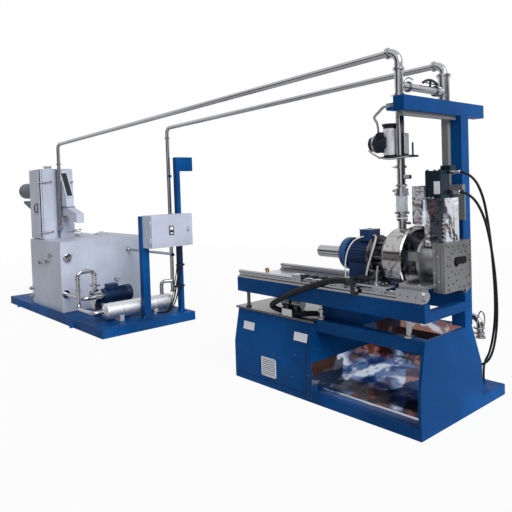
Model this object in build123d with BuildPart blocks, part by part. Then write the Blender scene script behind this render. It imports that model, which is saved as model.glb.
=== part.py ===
from build123d import *
import math
import os

os.makedirs("parts", exist_ok=True)

# Underwater pelletizing line, millimetres, +Z up.
# +X runs along the line, from the water skid to the pelletizer, and -Y is the operator's side.
# The origin is on the floor, at the middle of the line's length and width.

# Overall layout
skid_length = 2910.0
unit_gap = 1920.0
base_length = 1750.0
die_overhang = 100.0
rear_foot_reach = 1076.0
skid_ahead = 251.0
lift_tube_stub = 39.0

half_length = (skid_length + unit_gap + base_length + die_overhang) / 2
half_width = (rear_foot_reach + skid_ahead + lift_tube_stub) / 2
skid_left = -half_length
skid_right = skid_left + skid_length
base_left = skid_right + unit_gap
base_right = base_left + base_length
base_front = half_width - rear_foot_reach
skid_front = base_front - skid_ahead

# What stands on the skid is measured from a line that is set in from its right end
skid_line_inset = 107.0
skid_line = skid_right - skid_line_inset

# Clearances: round parts that pass through a hole, door seals, and pieces that slide past fixed ones
hole_clearance = 0.3
seal_gap = 2.0
slide_gap = 5.0


# Clamp rings over pipe joints
ferrule_width = 16.0
ferrule_rise = 10.0


def block(x, y, z, mode=Mode.ADD):
    """A rectangular block between the low and high value of each axis."""
    with Locations(((x[0] + x[1]) / 2, (y[0] + y[1]) / 2, (z[0] + z[1]) / 2)):
        Box(x[1] - x[0], y[1] - y[0], z[1] - z[0], mode=mode)


def rod(start, end, radius, mode=Mode.ADD):
    """A round bar from one point to another."""
    axis = Vector(*end) - Vector(*start)
    with BuildSketch(Plane(origin=start, z_dir=axis)) as disc:
        Circle(radius)
    extrude(disc.sketch, amount=axis.length, mode=mode)


def bent_pipe(points, radius, bend):
    """A round pipe along straight runs joined by bends of one radius."""
    with BuildLine(mode=Mode.PRIVATE) as route:
        FilletPolyline(*points, radius=bend)
    with BuildSketch(Plane(origin=route.line @ 0, z_dir=route.line % 0)) as disc:
        Circle(radius)
    sweep(disc.sketch, path=route.line)


def ferrule(centre, direction, radius, mode=Mode.ADD):
    """The clamp ring over a pipe joint."""
    half = Vector(*direction) * (ferrule_width / 2)
    rod(Vector(*centre) - half, Vector(*centre) + half, radius + ferrule_rise, mode)


def save(builder, label):
    """Names a finished sub-part and writes it."""
    builder.part.label = label
    export_step(builder.part, "parts/" + label + ".step")


# Pelletizer base: a closed cabinet at the left, an open bay at the right, and a thick end plate
base_depth = 750.0
cabinet_length = 860.0
shoulder_height = 295.0
front_inset = 60.0
rear_inset = 130.0
base_height = 590.0
end_plate_thickness = 20.0
sill_height = 70.0
sill_width = 60.0
top_rail_height = 85.0

base_back = base_front + base_depth
cabinet_right = base_left + cabinet_length
end_plate_left = base_right - end_plate_thickness
bay = (cabinet_right, end_plate_left)


def base_outline(x, length):
    """The base's side outline: upright below the shoulder and leaning inwards above it."""
    with BuildSketch(Plane.YZ.offset(x)) as outline:
        with BuildLine():
            Polyline(
                (base_front, 0),
                (base_back, 0),
                (base_back, shoulder_height),
                (base_back - rear_inset, base_height),
                (base_front + front_inset, base_height),
                (base_front, shoulder_height),
                close=True,
            )
        make_face()
    extrude(outline.sketch, amount=length)


lid_thickness = 15.0
lid_overhang = 20.0
with BuildPart() as base_cabinet:
    base_outline(base_left, cabinet_length)
    block(
        (base_left, cabinet_right),
        (base_front, base_back),
        (base_height - 2 * lid_thickness, base_height),
        Mode.SUBTRACT,
    )

lid_z = (base_height - 2 * lid_thickness, base_height - lid_thickness)
with BuildPart() as cabinet_lid:
    block(
        (base_left - lid_overhang, cabinet_right),
        (base_front + front_inset - lid_overhang, base_back - rear_inset + lid_overhang),
        lid_z,
    )

with BuildPart() as end_plate:
    base_outline(end_plate_left, end_plate_thickness)

with BuildPart() as sills:
    block(bay, (base_front, base_front + sill_width), (0, sill_height))
    block(bay, (base_back - sill_width, base_back), (0, sill_height))

rail_z = (base_height - top_rail_height, base_height)
front_rail_y = (base_front + front_inset, base_front + front_inset + sill_width)
rear_rail_y = (base_back - rear_inset - sill_width, base_back - rear_inset)

with BuildPart() as top_rails:
    block(bay, front_rail_y, rail_z)
    block(bay, rear_rail_y, rail_z)

# Polished lining of the bay: a tray and a back sheet that follows the outline
lining = 3.0
tray_rim = 40.0
tray_top = sill_height + tray_rim
tray_y = (base_front + sill_width, base_back - sill_width)

with BuildPart() as bay_tray:
    block(bay, tray_y, (sill_height - lining, tray_top))
    block(
        (bay[0] + lining, bay[1] - lining),
        (tray_y[0] + lining, tray_y[1] - lining),
        (sill_height, tray_top),
        Mode.SUBTRACT,
    )

with BuildPart() as bay_back_sheet:
    with BuildSketch(Plane.YZ.offset(bay[0] + lining)) as back_section:
        with BuildLine():
            Polyline(
                (tray_y[1], tray_top),
                (tray_y[1], shoulder_height),
                (rear_rail_y[0], rail_z[0]),
                (rear_rail_y[0], rail_z[1]),
                (rear_rail_y[0] - lining, rail_z[1]),
                (rear_rail_y[0] - lining, rail_z[0]),
                (tray_y[1] - lining, shoulder_height),
                (tray_y[1] - lining, tray_top),
                close=True,
            )
        make_face()
    extrude(back_section.sketch, amount=bay[1] - bay[0] - 2 * lining)

# Foot that reaches out behind the base, with the two glands where the hydraulic hoses end
rear_foot_length = 700.0
rear_foot_height = 75.0
hose_gland_radius = 13.0
hose_gland_height = 15.0
upper_hose_foot = (-138.0, 1036.0)
lower_hose_foot = (-168.0, 1012.0)
hose_gland_top = rear_foot_height + hose_gland_height
with BuildPart() as rear_foot:
    block((base_right - rear_foot_length, base_right), (base_back, half_width), (0, rear_foot_height))
    for x, y in (upper_hose_foot, lower_hose_foot):
        gland_xy = (base_right + x, base_front + y)
        rod((*gland_xy, rear_foot_height), (*gland_xy, hose_gland_top), hose_gland_radius)

base_parts = {
    "base_cabinet": base_cabinet,
    "cabinet_lid": cabinet_lid,
    "base_end_plate": end_plate,
    "base_sills": sills,
    "base_top_rails": top_rails,
    "bay_tray": bay_tray,
    "bay_back_sheet": bay_back_sheet,
    "rear_foot": rear_foot,
}
for name, builder in base_parts.items():
    save(builder, name)

# Bed above the base: two long box beams on a pedestal, a levelling foot and a screw jack
bed_overhang = 40.0
bed_left_inset = 60.0
beam_width = 60.0
beam_height = 110.0
bed_gap = 125.0
rear_beam_offset = 470.0
cross_beam_width = 50.0
cross_beam_height = 60.0
pedestal_start = 850.0
pedestal_length = 370.0
pedestal_margin = 20.0

bed_left = base_left + bed_left_inset
bed_right = base_right + bed_overhang
beam_z = (base_height + bed_gap, base_height + bed_gap + beam_height)
bed_top = beam_z[1]
front_beam_y = (base_front, base_front + beam_width)
rear_beam_y = (base_front + rear_beam_offset, base_front + rear_beam_offset + beam_width)
between_beams = (front_beam_y[1], rear_beam_y[0])

cross_z = (beam_z[0], beam_z[0] + cross_beam_height)
pedestal_x = (base_left + pedestal_start, base_left + pedestal_start + pedestal_length)
cross_beam_lefts = (
    bed_left,
    (bed_left + pedestal_x[0]) / 2,
    pedestal_x[0],
    pedestal_x[1] - cross_beam_width,
    bed_right - cross_beam_width,
)
with BuildPart() as bed_frame:
    for beam_y in (front_beam_y, rear_beam_y):
        block((bed_left, bed_right), beam_y, beam_z)
    for left in cross_beam_lefts:
        block((left, left + cross_beam_width), between_beams, cross_z)

pedestal_y = (front_rail_y[1] + pedestal_margin, rear_rail_y[0] - lining - pedestal_margin)
with BuildPart() as bed_pedestal:
    block((pedestal_x[0], cabinet_right), pedestal_y, (lid_z[1], beam_z[0]))
    block((cabinet_right, pedestal_x[1]), pedestal_y, (base_height, beam_z[0]))

foot_radius = 14.0
foot_pad_radius = 24.0
foot_pad_height = 12.0
nut_radius = 22.0
nut_height = 22.0
left_foot_inset = 28.0
jack_scale = 1.4
right_foot_inset = 130.0


def levelling_foot(x, y, seat, scale):
    """A screw foot under a beam, with its pad on the base and its nut under the beam."""
    rod((x, y, seat), (x, y, seat + foot_pad_height), foot_pad_radius * scale)
    rod((x, y, seat + foot_pad_height), (x, y, beam_z[0]), foot_radius * scale)
    rod((x, y, beam_z[0] - nut_height), (x, y, beam_z[0]), nut_radius * scale)


rear_beam_mid = (rear_beam_y[0] + rear_beam_y[1]) / 2
rail_mid = (front_rail_y[0] + front_rail_y[1]) / 2
with BuildPart() as bed_left_feet:
    for y in (rail_mid, rear_beam_mid):
        levelling_foot(bed_left + left_foot_inset, y, lid_z[1], 1.0)

with BuildPart() as bed_right_jack:
    levelling_foot(base_right - right_foot_inset, rail_mid, base_height, jack_scale)

for name, builder in {
    "bed_frame": bed_frame,
    "bed_pedestal": bed_pedestal,
    "bed_left_feet": bed_left_feet,
    "bed_right_jack": bed_right_jack,
}.items():
    save(builder, name)

# Linear rails on the two beams: round shafts on ledges, with blocks that carry them at the right end
ledge_height = 16.0
ledge_width = 44.0
web_width = 12.0
shaft_radius = 14.0
shaft_height = 46.0
rail_right_inset = 14.0
end_block_length = 180.0
end_block_width = 70.0
end_block_height = 66.0
end_cap_radius = 30.0
end_cap_length = 14.0

front_beam_mid = (front_beam_y[0] + front_beam_y[1]) / 2
rail_right = bed_right - rail_right_inset
end_block_left = rail_right - end_block_length
shaft_z = bed_top + shaft_height


def shaft_rail(y):
    """A round shaft on a ledge with a narrow web, ending in a clamp block with a round cap."""
    rail_x = (bed_left, rail_right)
    block(rail_x, (y - ledge_width / 2, y + ledge_width / 2), (bed_top, bed_top + ledge_height))
    block(rail_x, (y - web_width / 2, y + web_width / 2), (bed_top + ledge_height, shaft_z))
    rod((bed_left, y, shaft_z), (rail_right, y, shaft_z), shaft_radius)


def end_block(y):
    """The fixed clamp block over a shaft's right end."""
    block(
        (end_block_left, rail_right),
        (y - end_block_width / 2, y + end_block_width / 2),
        (bed_top + ledge_height, bed_top + ledge_height + end_block_height),
    )
    block(
        (end_block_left, rail_right),
        (y - web_width / 2, y + web_width / 2),
        (bed_top + ledge_height, shaft_z),
        Mode.SUBTRACT,
    )
    rod((end_block_left, y, shaft_z), (rail_right, y, shaft_z), shaft_radius, Mode.SUBTRACT)
    rod((rail_right, y, shaft_z), (rail_right + end_cap_length, y, shaft_z), end_cap_radius)


with BuildPart() as shaft_rails:
    for y in (front_beam_mid, rear_beam_mid):
        shaft_rail(y)

# Cover plate between the beams, under the carriage
cover_thickness = 4.0
cover_length = 1000.0
with BuildPart() as bed_cover:
    block(
        (bed_left, bed_left + cover_length),
        (front_beam_mid + ledge_width / 2, rear_beam_mid - ledge_width / 2),
        (bed_top, bed_top + cover_thickness),
    )

# Carriage: bearing blocks on the shafts, and a plate with a cut-out for the cutter chamber
axis_height = 1058.0
carriage_start = 675.0
carriage_end = 224.0
carriage_thickness = 12.0
bearing_length = 90.0
bearing_width = 66.0
bearing_clearance = 0.5
bearing_wall = 8.0
bearing_low = 14.0
bearing_margin = 20.0
web_clearance = 3.0
chamber_cut_length = 120.0
chamber_cut_half = 175.0
cable_gland_radius = 8.0
cable_gland_length = 12.0
cable_gland_foot = (-616.0, 76.0)

drive_y = (front_beam_mid + rear_beam_mid) / 2
carriage_left = base_right - carriage_start
carriage_right = base_right - carriage_end
bearing_z = (shaft_z - bearing_low, shaft_z + shaft_radius + bearing_wall)
carriage_z = (bearing_z[1], bearing_z[1] + carriage_thickness)


def bearing_block(left, y):
    """A bearing that wraps a shaft and is slotted below for the shaft's web."""
    right = left + bearing_length
    half_slot = web_width / 2 + web_clearance
    block((left, right), (y - bearing_width / 2, y + bearing_width / 2), bearing_z)
    rod((left, y, shaft_z), (right, y, shaft_z), shaft_radius + bearing_clearance, Mode.SUBTRACT)
    block((left, right), (y - half_slot, y + half_slot), (bearing_z[0], shaft_z), Mode.SUBTRACT)


with BuildPart() as bearings:
    for left in (carriage_left + bearing_margin, carriage_right - bearing_margin - bearing_length):
        for y in (front_beam_mid, rear_beam_mid):
            bearing_block(left, y)

with BuildPart() as carriage_plate:
    block(
        (carriage_left, carriage_right),
        (front_beam_mid - bearing_width / 2, rear_beam_mid + bearing_width / 2),
        carriage_z,
    )
    block(
        (carriage_right - chamber_cut_length, carriage_right),
        (drive_y - chamber_cut_half, drive_y + chamber_cut_half),
        carriage_z,
        Mode.SUBTRACT,
    )
    gland_xy = (base_right + cable_gland_foot[0], base_front + cable_gland_foot[1])
    rod(
        (*gland_xy, carriage_z[1]),
        (*gland_xy, carriage_z[1] + cable_gland_length),
        cable_gland_radius,
    )

# Motor: finned body on feet, fan cover, terminal box, and a brake cylinder behind
brake_start = 1004.0
fan_cover_start = 750.0
motor_start = 690.0
flange_start = 478.0
lantern_start = 462.0
brake_radius = 43.0
fan_cover_radius = 114.0
fan_cover_edge = 24.0
motor_radius = 100.0
fin_count = 32
fin_height = 9.0
fin_root = 1.0
fin_width = 4.0
motor_foot_length = 150.0
motor_foot_width = 190.0
box_start = 592.0
box_length = 95.0
box_width = 120.0
box_top = 177.0
box_edge = 12.0
box_gland_reach = 545.0
box_gland_height = 131.0


def on_axis(reach):
    """A point on the drive axis, so far to the left of the base's right end."""
    return (base_right - reach, drive_y, axis_height)


def on_axis_section(reach):
    """The plane across the drive axis at the same distance."""
    return Plane(origin=on_axis(reach), z_dir=(1, 0, 0))


with BuildPart() as motor_body:
    rod(on_axis(motor_start), on_axis(flange_start), motor_radius)
    with BuildSketch(on_axis_section(motor_start)) as fins:
        with PolarLocations(motor_radius + fin_height / 2 - fin_root, fin_count):
            Rectangle(fin_height, fin_width)
    extrude(fins.sketch, amount=motor_start - flange_start)
    foot_mid = base_right - (motor_start + flange_start) / 2
    block(
        (foot_mid - motor_foot_length / 2, foot_mid + motor_foot_length / 2),
        (drive_y - motor_foot_width / 2, drive_y + motor_foot_width / 2),
        (carriage_z[1], axis_height - motor_radius / 2),
    )

with BuildPart() as fan_cover:
    rod(on_axis(fan_cover_start), on_axis(motor_start), fan_cover_radius)
    fillet(fan_cover.edges().group_by(Axis.X)[0], fan_cover_edge)

with BuildPart() as brake_cylinder:
    rod(on_axis(brake_start), on_axis(fan_cover_start), brake_radius)

with BuildPart() as terminal_box:
    block(
        (base_right - box_start, base_right - box_start + box_length),
        (drive_y - box_width / 2, drive_y + box_width / 2),
        (axis_height + motor_radius, axis_height + box_top),
    )
    fillet(terminal_box.edges().filter_by(Axis.Z), box_edge)
    rod(on_axis(motor_start), on_axis(flange_start), motor_radius + fin_height, Mode.SUBTRACT)
    box_gland = (base_right - box_gland_reach, drive_y - box_width / 2, axis_height + box_gland_height)
    box_gland_tip = (box_gland[0], box_gland[1] - cable_gland_length, box_gland[2])
    rod(box_gland, box_gland_tip, cable_gland_radius)

# Lantern between motor and cutter chamber: the motor's flange, two rings and six posts
motor_flange_radius = 140.0
lantern_ring = 18.0
lantern_ring_radius = 132.0
lantern_back_radius = 176.0
lantern_bore = 70.0
lantern_posts = 6
lantern_post_circle = 100.0
lantern_post_radius = 14.0
lantern_turn = 30.0
drum_start = 312.0

with BuildPart() as lantern:
    rod(on_axis(flange_start), on_axis(lantern_start), motor_flange_radius)
    rod(on_axis(lantern_start), on_axis(lantern_start - lantern_ring), lantern_ring_radius)
    rod(on_axis(drum_start + lantern_ring), on_axis(drum_start), lantern_back_radius)
    rod(on_axis(lantern_start), on_axis(drum_start), lantern_bore, Mode.SUBTRACT)
    with BuildSketch(on_axis_section(lantern_start)) as posts:
        with PolarLocations(lantern_post_circle, lantern_posts, lantern_turn):
            Circle(lantern_post_radius)
    extrude(posts.sketch, amount=lantern_start - drum_start)

# Cutter chamber: a drum open towards the die, with a clamp ring, an outlet nozzle and a side stub
ring_start = 175.0
ring_end = 157.0
drum_radius = 195.0
drum_wall = 6.0
drum_edge = 10.0
ring_radius = 217.0
ring_chamfer = 6.0
shaft_hole = 32.0
nozzle_reach = 279.0
nozzle_radius = 26.0
nozzle_top = 1315.0
nozzle_stub = 60.0
nozzle_stub_radius = 9.0
nozzle_stub_drop = 30.0

nozzle_x = base_right - nozzle_reach
with BuildPart() as cutter_drum:
    rod(on_axis(drum_start), on_axis(ring_start), drum_radius)
    fillet(cutter_drum.edges().group_by(Axis.X)[0], drum_edge)
    rod(on_axis(ring_start), on_axis(ring_end), ring_radius)
    chamfer(cutter_drum.edges().group_by(Axis.X)[-1], ring_chamfer)
    rod((nozzle_x, drive_y, axis_height), (nozzle_x, drive_y, nozzle_top), nozzle_radius)
    ferrule((nozzle_x, drive_y, nozzle_top - ferrule_width / 2), (0, 0, 1), nozzle_radius)
    stub_z = nozzle_top - nozzle_stub_drop
    rod((nozzle_x, drive_y, stub_z), (nozzle_x + nozzle_stub, drive_y, stub_z), nozzle_stub_radius)
    rod(on_axis(drum_start - 2 * drum_wall), on_axis(ring_end), drum_radius - drum_wall, Mode.SUBTRACT)
    rod(on_axis(drum_start), on_axis(ring_end), shaft_hole, Mode.SUBTRACT)

# Cutter rotor: the coupling, the shaft through the drum's back, and a hub with radial blades
coupling_radius = 45.0
coupling_length = 110.0
rotor_shaft_radius = 24.0
hub_radius = 50.0
hub_start = 285.0
hub_end = 225.0
blade_count = 8
blade_length = 58.0
blade_root = 3.0
blade_width = 16.0
blade_thickness = 4.0

with BuildPart() as cutter_rotor:
    rod(on_axis(lantern_start), on_axis(lantern_start - coupling_length), coupling_radius)
    rod(on_axis(lantern_start), on_axis(hub_end), rotor_shaft_radius)
    rod(on_axis(hub_start), on_axis(hub_end), hub_radius)
    with BuildSketch(on_axis_section(hub_end + blade_width)) as blades:
        with PolarLocations(hub_radius + blade_length / 2 - blade_root, blade_count):
            Rectangle(blade_length, blade_thickness)
    extrude(blades.sketch, amount=blade_width)

# Saddle that carries the lantern on the carriage plate, and the clamp lever on the front bearing
saddle_end = 370.0
saddle_half = 120.0
saddle_top = 975.0
lever_radius = 6.0
lever_foot = (-318.0, 20.0)
lever_tip = (-262.0, -35.0, 130.0)

with BuildPart() as drum_saddle:
    block(
        (base_right - lantern_start, base_right - saddle_end),
        (drive_y - saddle_half, drive_y + saddle_half),
        (carriage_z[1], saddle_top),
    )
    rod(on_axis(lantern_start), on_axis(saddle_end), lantern_ring_radius, Mode.SUBTRACT)

with BuildPart() as clamp_lever:
    lever_xy = (base_right + lever_foot[0], base_front + lever_foot[1])
    lever_boss = (*lever_xy, carriage_z[1] + 2 * lever_radius)
    rod((*lever_xy, carriage_z[1]), lever_boss, 2 * lever_radius)
    rod(
        lever_boss,
        (base_right + lever_tip[0], base_front + lever_tip[1], carriage_z[1] + lever_tip[2]),
        lever_radius,
    )

for name, builder in {
    "shaft_rails": shaft_rails,
    "bed_cover": bed_cover,
    "bearing_blocks": bearings,
    "carriage_plate": carriage_plate,
    "motor_body": motor_body,
    "motor_fan_cover": fan_cover,
    "brake_cylinder": brake_cylinder,
    "terminal_box": terminal_box,
    "lantern": lantern,
    "cutter_drum": cutter_drum,
    "cutter_rotor": cutter_rotor,
    "drum_saddle": drum_saddle,
    "clamp_lever": clamp_lever,
}.items():
    save(builder, name)

# Die group at the right end: a table on the end blocks, a round body with a flange that the drum
# closes against, and a head with the melt inlet and its bolt holes
table_thickness = 25.0
table_inset = 30.0
table_cut_half = 185.0
table_cut_end = 60.0
closed_gap = 5.0
carriage_travel_right = 65.0
die_flange_radius = 150.0
die_flange_length = 20.0
die_body_radius = 110.0
die_nose_radius = 85.0
die_nose_length = 43.0
head_left = 20.0
head_front = 130.0
head_back = 445.0
head_z = (880.0, 1180.0)
inlet_radius = 30.0
inlet_bolt_circle = 155.0
inlet_bolts = 12
inlet_bolt_radius = 6.0
inlet_bolt_depth = 40.0
lug_x = (-130.0, -67.0)
lug_y = (100.0, 200.0)
lug_z = (1065.0, 1120.0)

end_block_top = bed_top + ledge_height + end_block_height
table_z = (end_block_top, end_block_top + table_thickness)
head_x = (base_right + head_left, base_right + die_overhang)
head_y = (base_front + head_front, base_front + head_back)
die_face = ring_end - carriage_travel_right - closed_gap

with BuildPart() as die_table:
    for y in (front_beam_mid, rear_beam_mid):
        end_block(y)
    block((end_block_left, head_x[0]), (base_front + table_inset, rear_beam_y[1] - table_inset), table_z)
    block(
        (end_block_left, base_right - table_cut_end),
        (drive_y - table_cut_half, drive_y + table_cut_half),
        table_z,
        Mode.SUBTRACT,
    )

with BuildPart() as die_head:
    block(head_x, head_y, head_z)
    rod(on_axis(die_face), on_axis(die_face - die_flange_length), die_flange_radius)
    rod(on_axis(die_face), on_axis(-head_left), die_body_radius)
    rod(on_axis(die_face + die_nose_length), on_axis(die_face), die_nose_radius)
    block(
        (base_right + lug_x[0], base_right + lug_x[1]),
        (base_front + lug_y[0], base_front + lug_y[1]),
        lug_z,
    )
    rod(on_axis(-head_left), on_axis(-die_overhang), inlet_radius, Mode.SUBTRACT)
    with BuildSketch(on_axis_section(inlet_bolt_depth - die_overhang)) as inlet_holes:
        with PolarLocations(inlet_bolt_circle / 2, inlet_bolts, 360 / inlet_bolts / 2):
            Circle(inlet_bolt_radius)
    extrude(inlet_holes.sketch, amount=inlet_bolt_depth, mode=Mode.SUBTRACT)

# Diverter yoke over the die: a valve body, upright plates and a bridge that carries the cylinder
valve_x = (-64.0, 10.0)
valve_y = (185.0, 345.0)
valve_z = (1150.0, 1330.0)
yoke_plate = 12.0
left_plate_x = (-149.0, -64.0)
left_plate_z = (1285.0, 1525.0)
gusset_x = (-122.0, -64.0)
gusset_z = (1285.0, 1440.0)
gusset_depth = 20.0
right_plate_x = (10.0, 77.0)
bridge_z = (1435.0, 1447.0)
spool_radius = 18.0
cylinder_x = (-75.0, 35.0)
cylinder_y = (215.0, 325.0)
cylinder_top = 1616.0
cylinder_edge = 8.0
port_x = (-10.0, 60.0)
port_y = (290.0, 350.0)
port_height = 30.0
port_lower_z = (1465.0, 1495.0)
hose_fitting_radius = 9.0
upper_fitting = (48.0, 1603.0)
lower_fitting = (20.0, 1481.0)
fitting_y = 300.0


def from_corner(x, y):
    """Turns two ranges measured from the base's near right corner into the shared frame."""
    return (
        (base_right + x[0], base_right + x[1]),
        (base_front + y[0], base_front + y[1]),
    )


with BuildPart() as valve_yoke:
    block(*from_corner(valve_x, valve_y), valve_z)
    rod(on_axis(die_face), on_axis(-head_left), die_body_radius, Mode.SUBTRACT)
    block(*from_corner(left_plate_x, (valve_y[0], valve_y[0] + yoke_plate)), left_plate_z)
    block(*from_corner((left_plate_x[0], left_plate_x[0] + yoke_plate), valve_y), left_plate_z)
    block(*from_corner(gusset_x, (valve_y[0] - gusset_depth, valve_y[0])), gusset_z)
    block(*from_corner(right_plate_x, (valve_y[0], valve_y[0] + yoke_plate)), (head_z[1], bridge_z[0]))
    block(*from_corner((right_plate_x[1] - yoke_plate, right_plate_x[1]), valve_y), (head_z[1], bridge_z[0]))
    block(*from_corner((left_plate_x[0] + yoke_plate, right_plate_x[1]), valve_y), bridge_z)
    spool = (base_right + sum(cylinder_x) / 2, base_front + sum(cylinder_y) / 2)
    rod((*spool, valve_z[1]), (*spool, bridge_z[0]), spool_radius)

with BuildPart() as hydraulic_cylinder:
    block(*from_corner(cylinder_x, cylinder_y), (bridge_z[1], cylinder_top))
    fillet(hydraulic_cylinder.edges().filter_by(Axis.Z), cylinder_edge)
    block(*from_corner(port_x, port_y), (cylinder_top, cylinder_top + port_height))
    lower_port_y = (port_y[0], cylinder_y[1] - cylinder_edge)
    block(*from_corner((cylinder_x[1], port_x[1]), lower_port_y), port_lower_z)
    for start_x, (length, height) in ((cylinder_x[1], upper_fitting), (port_x[1], lower_fitting)):
        rod(
            (base_right + start_x, base_front + fitting_y, height),
            (base_right + start_x + length, base_front + fitting_y, height),
            hose_fitting_radius,
        )

# Column behind the die with the arm across its top, cable trays and a steel plate
column_x = (-95.0, 0.0)
column_y = (535.0, 630.0)
arm_x = (-85.0, -10.0)
arm_y = (-83.0, 862.0)
arm_height = 87.0
tee_height = 2182.0
arm_below_tee = 124.0
bracket_reach = 355.0
bracket_y = (225.0, 305.0)
bracket_height = 45.0
bracket_rise = 12.0
arm_gland_y = -50.0
arm_gland_height = 39.0
arm_gland_radius = 10.0
tray_drop = 25.0
arm_tray_x = (-75.0, -35.0)
arm_tray_y = (-60.0, 500.0)
column_tray_x = (-120.0, -75.0)
column_tray_y = (500.0, 535.0)
column_tray_low = 1525.0
plate_bar_x = (-139.0, 20.0)
plate_bar_z = (1490.0, 1525.0)
steel_plate_x = (-57.0, 20.0)
steel_plate_y = (523.0, 535.0)
steel_plate_low = 1294.0
stack_radius = 28.0

arm_top = tee_height - arm_below_tee
arm_z = (arm_top - arm_height, arm_top)
bracket_z = (arm_top + bracket_rise - bracket_height, arm_top + bracket_rise)
arm_gland = (base_right + arm_x[0], base_front + arm_gland_y, arm_z[0] + arm_gland_height)
arm_gland_tip = (arm_gland[0] - cable_gland_length, *arm_gland[1:])

with BuildPart() as column:
    block(*from_corner(column_x, column_y), (base_height, arm_z[0]))

with BuildPart() as arm:
    block(*from_corner(arm_x, arm_y), arm_z)
    block(*from_corner((-bracket_reach, arm_x[0]), bracket_y), bracket_z)
    rod(
        (nozzle_x, drive_y, bracket_z[0]),
        (nozzle_x, drive_y, bracket_z[1]),
        stack_radius + hole_clearance,
        Mode.SUBTRACT,
    )
    rod(arm_gland, arm_gland_tip, arm_gland_radius)

with BuildPart() as cable_trays:
    block(*from_corner(arm_tray_x, arm_tray_y), (arm_z[0] - tray_drop, arm_z[0]))
    block(*from_corner((column_tray_x[0], arm_tray_x[1]), column_tray_y), (arm_z[0] - tray_drop, arm_z[0]))
    block(*from_corner(column_tray_x, column_tray_y), (column_tray_low, arm_z[0]))
    block(*from_corner(plate_bar_x, column_tray_y), plate_bar_z)
    block(*from_corner(steel_plate_x, steel_plate_y), (steel_plate_low, plate_bar_z[0]))

# Outlet stack over the drum's nozzle: sight glass, hand valve, side port, diverter, and the top bend
stack_bottom = nozzle_top + slide_gap
glass_z = (1360.0, 1465.0)
glass_radius = 38.0
glass_wall = 6.0
hand_valve_z = (1481.0, 1512.0)
hand_valve_radius = 44.0
hand_knob_reach = 66.0
hand_knob_radius = 9.0
side_port_z = 1585.0
side_port_reach = 70.0
side_port_radius = 14.0
stack_ferrules = (1530.0, 1652.0, tee_height - 62.0, tee_height + 107.0)
stack_rise = 223.0
stack_bend = 70.0
top_bend_reach = 85.0
long_pipe_radius = 23.0
drop_xy = (-1653.0, 321.0)
slurry_left_z = 2195.0

stack_xy = (nozzle_x, drive_y)
slurry_left = (skid_line + drop_xy[0], skid_front + drop_xy[1], slurry_left_z)
top_corner = (*stack_xy, tee_height + stack_rise)
slurry_way = (Vector(*slurry_left) - Vector(*top_corner)).normalized()
top_bend_end = Vector(*top_corner) + slurry_way * top_bend_reach

with BuildPart() as stack_pipe:
    bent_pipe([(*stack_xy, glass_z[1]), top_corner, tuple(top_bend_end)], stack_radius, stack_bend)
    rod((*stack_xy, stack_bottom), (*stack_xy, glass_z[0]), stack_radius)
    ferrule((*stack_xy, stack_bottom + ferrule_width / 2), (0, 0, 1), stack_radius)
    ferrule((*stack_xy, glass_z[0] - ferrule_width / 2), (0, 0, 1), glass_radius)
    ferrule((*stack_xy, glass_z[1] + ferrule_width / 2), (0, 0, 1), glass_radius)
    rod((*stack_xy, hand_valve_z[0]), (*stack_xy, hand_valve_z[1]), hand_valve_radius)
    knob_z = sum(hand_valve_z) / 2
    rod((*stack_xy, knob_z), (stack_xy[0] - hand_knob_reach, stack_xy[1], knob_z), hand_knob_radius)
    port_end = (stack_xy[0] + side_port_reach, stack_xy[1], side_port_z)
    rod((*stack_xy, side_port_z), port_end, side_port_radius)
    for height in stack_ferrules:
        ferrule((*stack_xy, height), (0, 0, 1), stack_radius)
    ferrule(top_bend_end - slurry_way * (ferrule_width / 2), slurry_way, stack_radius)

with BuildPart() as sight_glass:
    rod((*stack_xy, glass_z[0]), (*stack_xy, glass_z[1]), glass_radius)
    rod((*stack_xy, glass_z[0]), (*stack_xy, glass_z[1]), glass_radius - glass_wall, Mode.SUBTRACT)

# Diverter drive beside the stack: a round housing, a motor with a cover, a base plate and a stop rod
housing_z = (1725.0, 1925.0)
housing_reach = 76.0
housing_radius = 47.0
housing_top_radius = 54.0
housing_top_height = 14.0
drive_motor_z = 1815.0
drive_motor_reach = 225.0
drive_motor_radius = 62.0
motor_cover_radius = 50.0
motor_cover_step = 40.0
diverter_plate_x = (-140.0, 100.0)
diverter_plate_half = 52.0
diverter_plate_z = (1712.0, 1725.0)
stop_rod_height = 80.0
stop_rod_radius = 6.0
stop_rod_inset = 8.0
clamp_plate_x = (29.0, 46.0)
clamp_plate_half = 24.0
clamp_plate_top = 1868.0
drive_gland_reach = 173.0

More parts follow.
